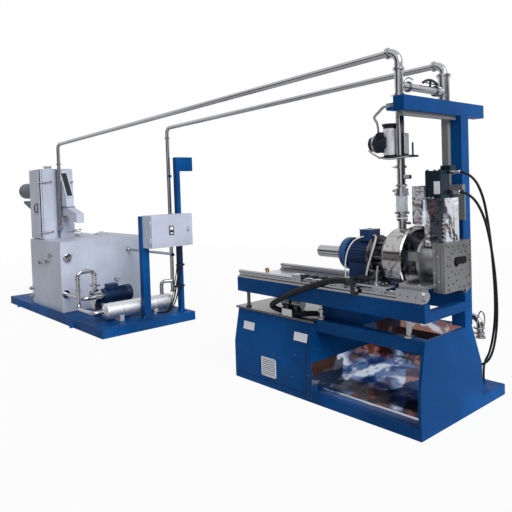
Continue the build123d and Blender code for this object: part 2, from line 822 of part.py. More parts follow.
housing_x = stack_xy[0] - housing_reach
plate_x = (stack_xy[0] + diverter_plate_x[0], stack_xy[0] + diverter_plate_x[1])
stop_rod_x = plate_x[1] - stop_rod_inset
housing_cap = housing_z[1] + housing_top_height
with BuildPart() as diverter_drive:
    rod((housing_x, drive_y, housing_z[0]), (housing_x, drive_y, housing_z[1]), housing_radius)
    rod((housing_x, drive_y, housing_z[1]), (housing_x, drive_y, housing_cap), housing_top_radius)
    motor_end = stack_xy[0] - drive_motor_reach
    rod(
        (housing_x, drive_y, drive_motor_z),
        (motor_end + motor_cover_step, drive_y, drive_motor_z),
        drive_motor_radius,
    )
    rod(
        (housing_x, drive_y, drive_motor_z),
        (motor_end, drive_y, drive_motor_z),
        motor_cover_radius,
    )
    drive_gland = (stack_xy[0] - drive_gland_reach, drive_y, drive_motor_z)
    drive_gland_tip = (*drive_gland[:2], drive_motor_z + drive_motor_radius + cable_gland_length)
    rod(drive_gland, drive_gland_tip, arm_gland_radius)
    block(plate_x, (drive_y - diverter_plate_half, drive_y + diverter_plate_half), diverter_plate_z)
    rod(
        (stop_rod_x, drive_y, diverter_plate_z[1]),
        (stop_rod_x, drive_y, diverter_plate_z[1] + stop_rod_height),
        stop_rod_radius,
    )
    block(
        (stack_xy[0] + clamp_plate_x[0], stack_xy[0] + clamp_plate_x[1]),
        (drive_y - clamp_plate_half, drive_y + clamp_plate_half),
        (diverter_plate_z[1], clamp_plate_top),
    )
    rod(
        (*stack_xy, diverter_plate_z[0]),
        (*stack_xy, housing_cap),
        stack_radius + hole_clearance,
        Mode.SUBTRACT,
    )

for name, builder in {
    "die_table": die_table,
    "die_head": die_head,
    "valve_yoke": valve_yoke,
    "hydraulic_cylinder": hydraulic_cylinder,
    "column": column,
    "column_arm": arm,
    "cable_trays": cable_trays,
    "stack_pipe": stack_pipe,
    "sight_glass": sight_glass,
    "diverter_drive": diverter_drive,
}.items():
    save(builder, name)

# Long pipes between the two units: the slurry pipe from the stack to the dryer, falling towards it,
# and the supply pipe from the heat exchanger to the valve behind the column
valve_body_y = 815.0
valve_body_below_tee = 87.0
valve_body_above_tee = 113.0
valve_body_radius = 41.0
supply_rise = 200.0
supply_bend = 65.0
riser_xy = (-128.0, 1035.0)
supply_left_z = 2288.0
supply_bend_reach = 80.0
supply_lower_z = 600.0
supply_outlet_reach = 42.0
supply_outlet_z = 455.0
tee_radius = 26.0
tee_clamps = (105.0, 470.0)
tee_valve_reach = 430.0
tee_valve_length = 40.0
tee_valve_radius = 38.0
tee_lever_rise = 46.0
tee_lever_start = 300.0
tee_lever_radius = 5.0

valve_xy = (nozzle_x, base_front + valve_body_y)
valve_body_z = (tee_height - valve_body_below_tee, tee_height + valve_body_above_tee)
supply_corner = (*valve_xy, tee_height + supply_rise)
tee_lever_z = tee_height + tee_lever_rise
riser_top = (skid_line + riser_xy[0], skid_front + riser_xy[1], supply_left_z)
supply_way = (Vector(*riser_top) - Vector(*supply_corner)).normalized()
supply_bend_end = Vector(*supply_corner) + supply_way * supply_bend_reach

with BuildPart() as bypass_valve:
    rod((*valve_xy, valve_body_z[0]), (*valve_xy, valve_body_z[1]), valve_body_radius)
    bent_pipe(
        [(*valve_xy, valve_body_z[1]), supply_corner, tuple(supply_bend_end)],
        stack_radius,
        supply_bend,
    )
    ferrule((*valve_xy, valve_body_z[1] + ferrule_width / 2), (0, 0, 1), valve_body_radius)
    ferrule(supply_bend_end - supply_way * (ferrule_width / 2), supply_way, stack_radius)
    rod((nozzle_x, drive_y, tee_height), (nozzle_x, valve_xy[1], tee_height), tee_radius)
    for reach in tee_clamps:
        ferrule((nozzle_x, drive_y + reach, tee_height), (0, 1, 0), tee_radius)
    tee_valve_y = drive_y + tee_valve_reach
    rod(
        (nozzle_x, tee_valve_y, tee_height),
        (nozzle_x, tee_valve_y + tee_valve_length, tee_height),
        tee_valve_radius,
    )
    lever_y = tee_valve_y + tee_valve_length / 2
    rod((nozzle_x, lever_y, tee_height), (nozzle_x, lever_y, tee_lever_z), tee_lever_radius)
    rod(
        (nozzle_x, lever_y, tee_lever_z),
        (nozzle_x, drive_y + tee_lever_start, tee_lever_z + tee_lever_radius),
        tee_lever_radius,
    )
    rod(
        (nozzle_x, drive_y, tee_height - 2 * tee_radius),
        (nozzle_x, drive_y, tee_height + 2 * tee_radius),
        stack_radius + hole_clearance,
        Mode.SUBTRACT,
    )

with BuildPart() as supply_down:
    outlet_x = base_right - supply_outlet_reach
    bent_pipe(
        [
            (*valve_xy, valve_body_z[0]),
            (*valve_xy, supply_lower_z),
            (outlet_x, valve_xy[1], supply_lower_z),
            (outlet_x, valve_xy[1], supply_outlet_z),
        ],
        long_pipe_radius,
        supply_bend,
    )
    ferrule((outlet_x, valve_xy[1], supply_outlet_z + ferrule_width / 2), (0, 0, 1), long_pipe_radius)

# Water skid at the left: a frame of channels on the floor with lifting tubes, and a deck plate
skid_width = 1185.0
frame_height = 95.0
frame_width = 60.0
frame_bays = 5
deck_thickness = 5.0
lift_tube_radius = 25.0
lift_tube_z = 27.0
lift_tube_insets = (413.0, 747.0)

deck_top = frame_height + deck_thickness
skid_y = (skid_front, skid_front + skid_width)


def from_skid(x, y):
    """Turns two ranges measured from the skid's line and near side into the shared frame."""
    return (
        (skid_line + x[0], skid_line + x[1]),
        (skid_front + y[0], skid_front + y[1]),
    )


def skid_point(x, y, z):
    """A point measured from the skid's line, its near side and the floor."""
    return (skid_line + x, skid_front + y, z)


with BuildPart() as skid_frame:
    for front in (skid_front, skid_front + skid_width - frame_width):
        block((skid_left, skid_right), (front, front + frame_width), (0, frame_height))
    for step in range(frame_bays + 1):
        left = skid_left + step * (skid_length - frame_width) / frame_bays
        block((left, left + frame_width), skid_y, (0, frame_height))
    for x in (skid_left + lift_tube_insets[0], skid_right - lift_tube_insets[1]):
        rod(
            (x, skid_y[0] - lift_tube_stub, lift_tube_z),
            (x, skid_y[1], lift_tube_z),
            lift_tube_radius,
        )

with BuildPart() as skid_deck:
    block((skid_left, skid_right), skid_y, (frame_height, deck_top))

# Water tank: a plate shell on the deck with a lid plate as its roof
tank_x = (-2063.0, -1070.0)
tank_y = (57.0, 1175.0)
tank_top = 960.0
tank_wall = 4.0
lid_plate = 8.0

with BuildPart() as tank_shell:
    block(*from_skid(tank_x, tank_y), (deck_top, tank_top - lid_plate))
    block(
        *from_skid(
            (tank_x[0] + tank_wall, tank_x[1] - tank_wall),
            (tank_y[0] + tank_wall, tank_y[1] - tank_wall),
        ),
        (deck_top + tank_wall, tank_top - lid_plate),
        Mode.SUBTRACT,
    )

with BuildPart() as tank_lid:
    block(*from_skid(tank_x, tank_y), (tank_top - lid_plate, tank_top))

# Dryer on the tank: a rounded housing, a duct with a sloping front and a chute, and a hinged door
dryer_x = (-2053.0, -1723.0)
dryer_door_y = (74.0, 114.0)
dryer_back = 531.0
dryer_top = 1880.0
dryer_round = 110.0
dryer_neck = 345.0
dryer_seal = 5.0
duct_y = (345.0, 445.0)
duct_top = 1860.0
duct_slope_low = 1490.0
duct_face = -1513.0
duct_flange_z = 1370.0
chute_tip = -1223.0
chute_tip_z = (1170.0, 1290.0)
duct_low = 1250.0
dryer_wall = 6.0
dryer_door_inset = 10.0
hinge_radius = 7.0
hinge_offset = 8.0
knuckle_length = 30.0
knuckle_gap = 0.5
dryer_hinges = (1120.0, 1720.0)

dryer_hinge = (dryer_x[0] - hinge_offset, dryer_door_y[1])
dryer_front = dryer_door_y[1] + dryer_seal


def knuckle(centre, low):
    """One round hinge knuckle, standing upright on the hinge's axis."""
    rod(skid_point(*centre, low), skid_point(*centre, low + knuckle_length), hinge_radius)


with BuildPart() as dryer_housing:
    block(*from_skid(dryer_x, (dryer_front, dryer_neck)), (tank_top, dryer_top))
    fillet(
        dryer_housing.edges().filter_by(Axis.Z).group_by(Axis.Y)[-1].sort_by(Axis.X)[-1],
        dryer_round,
    )
    block(
        *from_skid(
            (dryer_x[0] + dryer_wall, dryer_x[1] - dryer_wall),
            (dryer_front, dryer_neck - dryer_round),
        ),
        (tank_top + dryer_wall, dryer_top - dryer_wall),
        Mode.SUBTRACT,
    )
    block(*from_skid(dryer_x, (dryer_neck - dryer_wall, dryer_back)), (tank_top, dryer_top))
    duct_start = skid_front + duct_y[0]
    duct_plane = Plane(origin=(skid_line, duct_start, 0), x_dir=(1, 0, 0), z_dir=(0, -1, 0))
    with BuildSketch(duct_plane) as duct:
        with BuildLine():
            Polyline(
                (dryer_x[1], duct_top),
                (duct_face, duct_slope_low),
                (duct_face, duct_flange_z),
                (chute_tip, chute_tip_z[1]),
                (chute_tip, chute_tip_z[0]),
                (duct_face, duct_low),
                (dryer_x[1], duct_low),
                close=True,
            )
        make_face()
    extrude(duct.sketch, amount=-(duct_y[1] - duct_y[0]))
    for low in dryer_hinges:
        knuckle(dryer_hinge, low)
        block(
            *from_skid((dryer_hinge[0], dryer_x[0]), (dryer_front, dryer_front + hinge_offset)),
            (low, low + knuckle_length),
        )

with BuildPart() as dryer_door:
    block(*from_skid(dryer_x, dryer_door_y), (tank_top + dryer_door_inset, dryer_top - dryer_door_inset))
    for low in dryer_hinges:
        raised = low + knuckle_length + knuckle_gap
        knuckle(dryer_hinge, raised)
        block(
            *from_skid((dryer_hinge[0], dryer_x[0]), (dryer_hinge[1] - hinge_offset, dryer_hinge[1])),
            (raised, raised + knuckle_length),
        )

# Drive motor on the dryer's left side, with the bracket plate under it
blower_left = -2660.0
blower_y = 231.0
blower_z = 1600.0
blower_radius = 108.0
blower_dome = 40.0
bracket_low = 1300.0
bracket_high = 1432.0
bracket_plate = 30.0
bracket_length = 400.0
bracket_side = (125.0, 311.0)

with BuildPart() as dryer_motor:
    rod(
        skid_point(blower_left, blower_y, blower_z),
        skid_point(dryer_x[0], blower_y, blower_z),
        blower_radius,
    )
    fillet(dryer_motor.edges().group_by(Axis.X)[0], blower_dome)
    bracket_start = skid_front + bracket_side[0]
    bracket_plane = Plane(origin=(skid_line, bracket_start, 0), x_dir=(1, 0, 0), z_dir=(0, -1, 0))
    with BuildSketch(bracket_plane) as gusset:
        with BuildLine():
            Polyline(
                (dryer_x[0], bracket_high + bracket_plate),
                (dryer_x[0] - bracket_length, bracket_high + bracket_plate),
                (dryer_x[0] - bracket_length, bracket_high),
                (dryer_x[0], bracket_low),
                close=True,
            )
        make_face()
    extrude(gusset.sketch, amount=-(bracket_side[1] - bracket_side[0]))

# Slurry pipe: the long run and the drop in front of the dryer, bent into its foot
drop_entry_z = 1075.0
drop_bend = 55.0
drop_clamps = (1935.0, 1840.0)
elbow_reach = 70.0

drop_elbow_end = Vector(*slurry_left) - slurry_way * elbow_reach
with BuildPart() as slurry_run:
    rod(top_bend_end, drop_elbow_end, long_pipe_radius)

with BuildPart() as slurry_drop:
    bent_pipe(
        [
            tuple(drop_elbow_end),
            slurry_left,
            skid_point(*drop_xy, drop_entry_z),
            skid_point(dryer_x[1], drop_xy[1], drop_entry_z),
        ],
        long_pipe_radius,
        drop_bend,
    )
    for height in drop_clamps:
        ferrule(skid_point(*drop_xy, height), (0, 0, 1), long_pipe_radius)

# Heat exchanger: a long cylinder with bolted end covers on two saddles
exchanger_x = -193.0
exchanger_y = (197.0, 1010.0)
exchanger_z = 220.0
exchanger_radius = 88.0
exchanger_flange_radius = 93.0
exchanger_flange = 16.0
exchanger_cover = 45.0
saddle_ys = (330.0, 770.0)
saddle_width = 50.0
saddle_reach = 70.0

with BuildPart() as heat_exchanger:
    rod(
        skid_point(exchanger_x, exchanger_y[0], exchanger_z),
        skid_point(exchanger_x, exchanger_y[1], exchanger_z),
        exchanger_radius,
    )
    for ring_y in (exchanger_y[0] + exchanger_cover, exchanger_y[1] - exchanger_cover - exchanger_flange):
        rod(
            skid_point(exchanger_x, ring_y, exchanger_z),
            skid_point(exchanger_x, ring_y + exchanger_flange, exchanger_z),
            exchanger_flange_radius,
        )
    for front in saddle_ys:
        block(
            *from_skid(
                (exchanger_x - saddle_reach, exchanger_x + saddle_reach),
                (front, front + saddle_width),
            ),
            (deck_top, exchanger_z),
        )

# Water pump: a motor lying along Y, and the volute with its neck and flange in front of it
pump_x = -573.0
pump_z = 325.0
pump_motor_y = (336.0, 701.0)
pump_motor_radius = 85.0
pump_foot_y = (400.0, 640.0)
pump_foot_reach = 60.0
volute_y = (215.0, 300.0)
volute_radius = 92.0
pump_neck_radius = 60.0
outlet_y = 250.0
outlet_z = 475.0
outlet_flange = 18.0
outlet_flange_radius = 62.0

with BuildPart() as pump_motor:
    rod(
        skid_point(pump_x, pump_motor_y[0], pump_z),
        skid_point(pump_x, pump_motor_y[1], pump_z),
        pump_motor_radius,
    )
    block(
        *from_skid((pump_x - pump_foot_reach, pump_x + pump_foot_reach), pump_foot_y),
        (deck_top, pump_z),
    )

# Piping on the skid: pump body, suction from the tank, the arch over the pump, and the exchanger inlet
skid_pipe_radius = 24.0
skid_bend = 60.0
suction_y = 105.0
arch_y = 45.0
arch_top = 640.0
suction_flange = 14.0
suction_flange_radius = 48.0
inlet_flange_y = 160.0
arch_clamps = (430.0, 560.0)

with BuildPart() as pump_piping:
    rod(skid_point(pump_x, volute_y[0], pump_z), skid_point(pump_x, volute_y[1], pump_z), volute_radius)
    rod(
        skid_point(pump_x, volute_y[1], pump_z),
        skid_point(pump_x, pump_motor_y[0], pump_z),
        pump_neck_radius,
    )
    block(*from_skid((pump_x - pump_foot_reach, pump_x + pump_foot_reach), volute_y), (deck_top, pump_z))
    rod(skid_point(pump_x, outlet_y, pump_z), skid_point(pump_x, outlet_y, outlet_z), skid_pipe_radius)
    rod(
        skid_point(pump_x, outlet_y, outlet_z - outlet_flange),
        skid_point(pump_x, outlet_y, outlet_z),
        outlet_flange_radius,
    )
    bent_pipe(
        [
            skid_point(tank_x[1], suction_y, pump_z),
            skid_point(pump_x, suction_y, pump_z),
            skid_point(pump_x, volute_y[0], pump_z),
        ],
        skid_pipe_radius,
        skid_bend,
    )
    rod(
        skid_point(tank_x[1], suction_y, pump_z),
        skid_point(tank_x[1] + suction_flange, suction_y, pump_z),
        suction_flange_radius,
    )
    bent_pipe(
        [
            skid_point(pump_x, outlet_y, outlet_z),
            skid_point(pump_x, outlet_y, arch_top),
            skid_point(pump_x, arch_y, arch_top),
            skid_point(pump_x, arch_y, exchanger_z),
            skid_point(exchanger_x, arch_y, exchanger_z),
            skid_point(exchanger_x, exchanger_y[0], exchanger_z),
        ],
        skid_pipe_radius,
        skid_bend,
    )
    for height in arch_clamps:
        ferrule(skid_point(pump_x, arch_y, height), (0, 0, 1), skid_pipe_radius)
        ferrule(skid_point(pump_x, outlet_y, height + 2 * ferrule_width), (0, 0, 1), skid_pipe_radius)
    ferrule(skid_point(exchanger_x, inlet_flange_y, exchanger_z), (0, 1, 0), skid_pipe_radius)

# Posts behind the exchanger, with clips for the riser
post_x = (-93.0, -23.0)
low_post_y = (581.0, 671.0)
low_post_top = 1262.0
high_post_y = (1078.0, 1126.0)
high_post_top = 1938.0
post_arm_reach = 1310.0
post_arm_low = 1772.0
post_foot_margin = 20.0
post_foot = 10.0
riser_clips = (760.0, 1240.0, 1700.0)
clip_height = 30.0
clip_width = 40.0

with BuildPart() as posts:
    block(*from_skid(post_x, low_post_y), (deck_top, low_post_top))
    block(*from_skid(post_x, high_post_y), (deck_top, high_post_top))
    block(*from_skid(post_x, (high_post_y[0], post_arm_reach)), (post_arm_low, high_post_top))
    for y in (low_post_y, high_post_y):
        block(
            *from_skid(
                (post_x[0], post_x[1] + post_foot_margin),
                (y[0] - post_foot_margin, y[1] + post_foot_margin),
            ),
            (deck_top, deck_top + post_foot),
        )
    clip_side = (riser_xy[1] - clip_width / 2, riser_xy[1] + clip_width / 2)
    for low in riser_clips:
        block(*from_skid((riser_xy[0], post_x[0]), clip_side), (low, low + clip_height))
    rod(
        skid_point(*riser_xy, riser_clips[0]),
        skid_point(*riser_xy, riser_clips[-1] + clip_height),
        long_pipe_radius + hole_clearance,
        Mode.SUBTRACT,
    )

# Supply pipe: the riser from the exchanger with the tank's return stub, and the long run
riser_low = 330.0
exchanger_outlet_y = 920.0
exchanger_outlet_z = 460.0
outlet_bend = 45.0
return_start = (-1070.0, 967.0, 785.0)
return_radius = 18.0
return_flange = 16.0
return_flange_radius = 34.0
riser_elbow = 60.0

riser_elbow_end = Vector(*riser_top) - supply_way * elbow_reach
with BuildPart() as supply_riser:
    bent_pipe(
        [skid_point(*riser_xy, riser_low), riser_top, tuple(riser_elbow_end)],
        long_pipe_radius,
        riser_elbow,
    )
    bent_pipe(
        [
            skid_point(exchanger_x, exchanger_outlet_y, exchanger_z + exchanger_radius),
            skid_point(exchanger_x, exchanger_outlet_y, exchanger_outlet_z),
            skid_point(*riser_xy, exchanger_outlet_z),
        ],
        long_pipe_radius,
        outlet_bend,
    )
    return_flange_end = (return_start[0] + return_flange, *return_start[1:])
    rod(skid_point(*return_start), skid_point(*return_flange_end), return_flange_radius)
    rod(skid_point(*return_flange_end), skid_point(*riser_xy, return_start[2]), return_radius)
    ferrule(skid_point(*riser_xy, riser_low + ferrule_width / 2), (0, 0, 1), long_pipe_radius)
    ferrule(skid_point(*riser_xy, supply_left_z - 2 * riser_elbow), (0, 0, 1), long_pipe_radius)

with BuildPart() as supply_run:
    rod(riser_elbow_end, supply_bend_end, long_pipe_radius)

# Control box on the posts: a shell open at the front, a mounting plate inside, and a hinged door
box_y = (595.0, 1139.0)
box_z = (903.0, 1270.0)
box_depth = 178.0
box_wall = 3.0
box_door = 20.0
box_lip = 16.0
mount_plate = 4.0
mount_margin = 30.0
box_hinges = (960.0, 1150.0)

box_x = (post_x[1], post_x[1] + box_depth)
door_x = (box_x[1] + seal_gap, box_x[1] + seal_gap + box_door)
box_hinge = (door_x[0], box_y[0] - hinge_offset)

with BuildPart() as control_box:
    block(*from_skid(box_x, box_y), box_z)
    block(
        *from_skid((box_x[0] + box_wall, box_x[1]), (box_y[0] + box_lip, box_y[1] - box_lip)),
        (box_z[0] + box_lip, box_z[1] - box_lip),
        Mode.SUBTRACT,
    )
    block(
        *from_skid(
            (box_x[0] + box_wall, box_x[0] + box_wall + mount_plate),
            (box_y[0] + mount_margin, box_y[1] - mount_margin),
        ),
        (box_z[0] + mount_margin, box_z[1] - mount_margin),
    )
    for low in box_hinges:
        knuckle(box_hinge, low)
        block(
            *from_skid((box_x[1] - hinge_offset, box_x[1]), (box_hinge[1], box_y[0])),
            (low, low + knuckle_length),
        )

with BuildPart() as control_box_door:
    block(*from_skid(door_x, box_y), box_z)
    for low in box_hinges:
        raised = low + knuckle_length + knuckle_gap
        knuckle(box_hinge, raised)
        block(
            *from_skid((door_x[0], door_x[0] + hinge_offset), (box_hinge[1], box_y[0])),
            (raised, raised + knuckle_length),
        )

for name, builder in {
    "bypass_valve": bypass_valve,
    "supply_down": supply_down,
    "skid_frame": skid_frame,
    "skid_deck": skid_deck,
    "tank_shell": tank_shell,
    "tank_lid": tank_lid,
    "dryer_housing": dryer_housing,
    "dryer_door": dryer_door,
    "dryer_motor": dryer_motor,
    "slurry_run": slurry_run,
    "slurry_drop": slurry_drop,
    "heat_exchanger": heat_exchanger,
    "pump_motor": pump_motor,
    "pump_piping": pump_piping,
    "posts": posts,
    "supply_riser": supply_riser,
    "supply_run": supply_run,
    "control_box": control_box,
    "control_box_door": control_box_door,
}.items():
    save(builder, name)

# Equipment on the cabinet's lid and the front beam: a steel vessel on saddles, an upright plate that
# keeps the conduit on the lid, and a clip on the beam for the conduit's upper end
vessel_x = (-1450.0, -1240.0)
vessel_y = 290.0
vessel_radius = 35.0
saddle_inset = 40.0
saddle_length = 30.0
saddle_half = 28.0
keeper_x = (-1222.0, -1115.0)
keeper_y = (44.0, 50.0)
keeper_height = 53.0
clip_x = (-500.0, -470.0)
clip_y = (-17.0, -9.0)
clip_top = 941.0
clip_foot_height = 10.0
conduit_start = (-505.0, -36.0, 918.0)
conduit_nut_length = 30.0
conduit_nut_radius = 23.0


def base_point(x, y, z):
    """A point measured from the base's near right corner and from the floor."""
    return (base_right + x, base_front + y, z)


vessel_z = lid_z[1] + vessel_radius
with BuildPart() as lid_fittings:
    rod(
        base_point(vessel_x[0], vessel_y, vessel_z),
        base_point(vessel_x[1], vessel_y, vessel_z),
        vessel_radius,
    )
    for left in (vessel_x[0] + saddle_inset, vessel_x[1] - saddle_inset - saddle_length):
        block(
            *from_corner((left, left + saddle_length), (vessel_y - saddle_half, vessel_y + saddle_half)),
            (lid_z[1], vessel_z),
        )
    block(*from_corner(keeper_x, keeper_y), (lid_z[1], lid_z[1] + keeper_height))
    block(*from_corner(clip_x, clip_y), (bed_top, clip_top))
    clip_foot_back = front_beam_mid - base_front - ledge_width / 2
    block(*from_corner(clip_x, (clip_y[0], clip_foot_back)), (bed_top, bed_top + clip_foot_height))
    nut_end = (conduit_start[0] + conduit_nut_length, *conduit_start[1:])
    rod(base_point(*conduit_start), base_point(*nut_end), conduit_nut_radius)

# Flexible tubes. Each bend is as large as the shorter of its two runs allows.
bend_share = 0.45
hose_radius = 8.0
conduit_radius = 20.0
motor_cable_radius = 4.5
drive_conduit_radius = 7.0


def flexible_tube(label, points, radius):
    """A round tube along straight runs joined by tangent bends, with its bend radii printed."""
    runs = [Vector(*end) - Vector(*start) for start, end in zip(points, points[1:])]
    bends = []
    for before, after in zip(runs, runs[1:]):
        half_turn = math.radians(before.get_angle(after)) / 2
        bends.append(bend_share * min(before.length, after.length) / math.tan(half_turn))
    with BuildLine(mode=Mode.PRIVATE) as route:
        FilletPolyline(*points, radius=bends)
    with BuildSketch(Plane(origin=route.line @ 0, z_dir=route.line % 0)) as section:
        Circle(radius)
    sweep(section.sketch, path=route.line)
    print(label, "length", round(route.wires()[0].length), "bend radii", [round(bend) for bend in bends])


with BuildPart() as upper_hose:
    flexible_tube(
        "upper_hose",
        [
            base_point(cylinder_x[1] + upper_fitting[0], fitting_y, upper_fitting[1]),
            base_point(124.0, fitting_y, upper_fitting[1]),
            base_point(166.0, 310.0, 1586.0),
            base_point(199.0, 329.0, 1547.0),
            base_point(215.0, 354.0, 1491.0),
            base_point(219.0, 394.0, 1415.0),
            base_point(206.0, 456.0, 1302.0),
            base_point(190.0, 524.0, 1154.0),
            base_point(166.0, 598.0, 986.0),
            base_point(136.0, 676.0, 810.0),
            base_point(94.0, 758.0, 632.0),
            base_point(36.0, 838.0, 463.0),
            base_point(-34.0, 918.0, 320.0),
            base_point(-104.0, 992.0, 240.0),
            base_point(*upper_hose_foot, 158.0),
            base_point(*upper_hose_foot, hose_gland_top),
        ],
        hose_radius,
    )

with BuildPart() as lower_hose:
    flexible_tube(
        "lower_hose",
        [
            base_point(port_x[1] + lower_fitting[0], fitting_y, lower_fitting[1]),
            base_point(122.0, fitting_y, lower_fitting[1]),
            base_point(164.0, 311.0, 1465.0),
            base_point(196.0, 330.0, 1427.0),
            base_point(211.0, 358.0, 1375.0),
            base_point(213.0, 410.0, 1305.0),
            base_point(205.0, 472.0, 1202.0),
            base_point(193.0, 538.0, 1072.0),
            base_point(176.0, 602.0, 932.0),
            base_point(153.0, 664.0, 790.0),
            base_point(121.0, 732.0, 650.0),
            base_point(77.0, 802.0, 500.0),
            base_point(14.0, 876.0, 350.0),
            base_point(-60.0, 946.0, 252.0),
            base_point(-132.0, 994.0, 208.0),
            base_point(*lower_hose_foot, 156.0),
            base_point(*lower_hose_foot, hose_gland_top),
        ],
        hose_radius,
    )

with BuildPart() as bed_conduit:
    flexible_tube(
        "bed_conduit",
        [
            base_point(*conduit_start),
            base_point(-610.0, *conduit_start[1:]),
            base_point(-745.0, -37.0, 880.0),
            base_point(-890.0, -39.0, 830.0),
            base_point(-1035.0, -36.0, 776.0),
            base_point(-1155.0, -28.0, 716.0),
            base_point(-1247.0, -10.0, 676.0),
            base_point(-1308.0, 12.0, 640.0),
            base_point(-1300.0, 72.0, 602.0),
            base_point(-1228.0, 86.0, 597.0),
            base_point(-1166.0, 76.0, 597.0),
            base_point(-1100.0, 76.0, 597.0),
            base_point(-1040.0, 106.0, 600.0),
            base_point(-974.0, 160.0, 604.0),
            base_point(pedestal_start - base_length, 160.0, 604.0),
        ],
        conduit_radius,
    )

with BuildPart() as motor_cable:
    flexible_tube(
        "motor_cable",
        [
            box_gland_tip,
            base_point(-545.0, 146.0, 1189.0),
            base_point(-574.0, 104.0, 1160.0),
            base_point(-602.0, 80.0, 1092.0),
            base_point(-614.0, 74.0, 1014.0),
            base_point(*cable_gland_foot, 960.0),
            base_point(*cable_gland_foot, carriage_z[1] + cable_gland_length),
        ],
        motor_cable_radius,
    )

with BuildPart() as drive_conduit:
    flexible_tube(
        "drive_conduit",
        [
            arm_gland_tip,
            base_point(-170.0, -50.0, 2010.0),
            base_point(-236.0, 10.0, 2006.0),
            base_point(-318.0, 92.0, 2000.0),
            base_point(-400.0, 164.0, 1994.0),
            base_point(-446.0, 212.0, 1984.0),
            base_point(-452.0, 265.0, 1950.0),
            drive_gland_tip,
        ],
        drive_conduit_radius,
    )

for name, builder in {
    "lid_fittings": lid_fittings,
    "upper_hose": upper_hose,
    "lower_hose": lower_hose,
    "bed_conduit": bed_conduit,
    "motor_cable": motor_cable,
    "drive_conduit": drive_conduit,
}.items():
    save(builder, name)
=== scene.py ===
# %% [markdown]
# # A pelletizing line, dressed for the camera
# The machine on the right cuts plastic under water. Two long pipes join it to the skid on the left,
# which holds the water tank, the pellet dryer, the pump and the heat exchanger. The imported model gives
# every main shape. This lesson adds the camera, the hoses, the finishes and the small hardware.

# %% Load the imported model
import math
import bpy
import bmesh
from mathutils import Matrix, Vector


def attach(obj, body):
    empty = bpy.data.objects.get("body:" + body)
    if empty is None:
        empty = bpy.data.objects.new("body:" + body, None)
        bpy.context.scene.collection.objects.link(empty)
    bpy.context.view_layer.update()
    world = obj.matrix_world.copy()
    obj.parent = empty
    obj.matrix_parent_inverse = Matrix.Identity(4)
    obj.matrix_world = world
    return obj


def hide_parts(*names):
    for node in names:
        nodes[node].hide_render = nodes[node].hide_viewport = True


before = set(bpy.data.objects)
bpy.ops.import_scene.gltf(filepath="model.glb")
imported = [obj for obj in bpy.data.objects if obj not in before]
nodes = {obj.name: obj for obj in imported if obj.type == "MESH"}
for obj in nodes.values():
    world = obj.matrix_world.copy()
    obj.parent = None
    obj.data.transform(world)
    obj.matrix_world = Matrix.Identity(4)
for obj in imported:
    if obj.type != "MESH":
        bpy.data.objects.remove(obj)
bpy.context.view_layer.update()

# %% [markdown]
# ## Two corners to measure from
# A maker measures each machine from its own corner. The pelletizer's is the near right foot of its
# base, and the skid's is a line near its right end. All numbers are metres, and the five directions
# have names.

# %% Corners and directions
UP, FRONT, BACK, RIGHT, LEFT = (0, 0, 1), (0, -1, 0), (0, 1, 0), (1, 0, 0), (-1, 0, 0)


def on_base(x, y, z):
    """A point measured from the pelletizer's corner."""
    return Vector((3.24 + x, y - 0.393, z))


def on_skid(x, y, z):
    """A point measured from the skid's line, its near side and the floor."""
    return Vector((x - 0.537, y - 0.644, z))


def measured(point, corner=on_base):
    """A point in the scene. Three numbers are measured from a corner, and a Vector is there already."""
    return point if isinstance(point, Vector) else corner(*point)


def shown(name, data):
    """A new object in the scene."""
    made = bpy.data.objects.new(name, data)
    bpy.context.collection.objects.link(made)
    return made


print("pelletizer corner", on_base(0, 0, 0), "skid corner", on_skid(0, 0, 0))

# %% [markdown]
# ## The camera
# A camera stands at eye height, right of the pelletizer, and looks left along the line. Its place, turn
# and lens come from lining up the machine's straight edges. The picture is framed low, which the lens
# shift gives without tilting the camera, so upright posts stay upright.


# %% Camera
def place_camera(eye, heading, dip, roll, lens, shift):
    """Makes a camera from its eye point and three angles in degrees."""
    heading, dip, roll = (math.radians(angle) for angle in (heading, dip, roll))
    ahead = Vector((-math.cos(heading) * math.cos(dip), math.sin(heading) * math.cos(dip), -math.sin(dip)))
    side = ahead.cross(Vector(UP)).normalized()
    up = side.cross(ahead)
    turned_side = math.cos(roll) * side + math.sin(roll) * up
    turned_up = math.cos(roll) * up - math.sin(roll) * side
    turn = Matrix((turned_side, turned_up, -ahead)).transposed()
    camera = shown("camera", bpy.data.cameras.new("camera"))
    camera.data.lens = lens
    camera.data.sensor_width = 36
    camera.data.shift_x, camera.data.shift_y = shift
    camera.data.clip_end = 200
    camera.matrix_world = Matrix.Translation(eye) @ turn.to_4x4()
    return camera


camera = place_camera(
    eye=(5.1045, -3.2638, 1.55), heading=41.542, dip=1.771, roll=-1.884, lens=39.547, shift=(-0.0091, -0.1006)
)
bpy.context.scene.camera = camera
print("camera at", camera.location)

# %% [markdown]
# ## Node maths as plain expressions
# A shader is a net of nodes, and clicking a net together hides the idea. This class wraps one socket,
# so `1 - dirt * 0.5` adds the right Math nodes by itself. Any other node comes from one method, and
# the same class builds the Geometry Nodes trees further down.


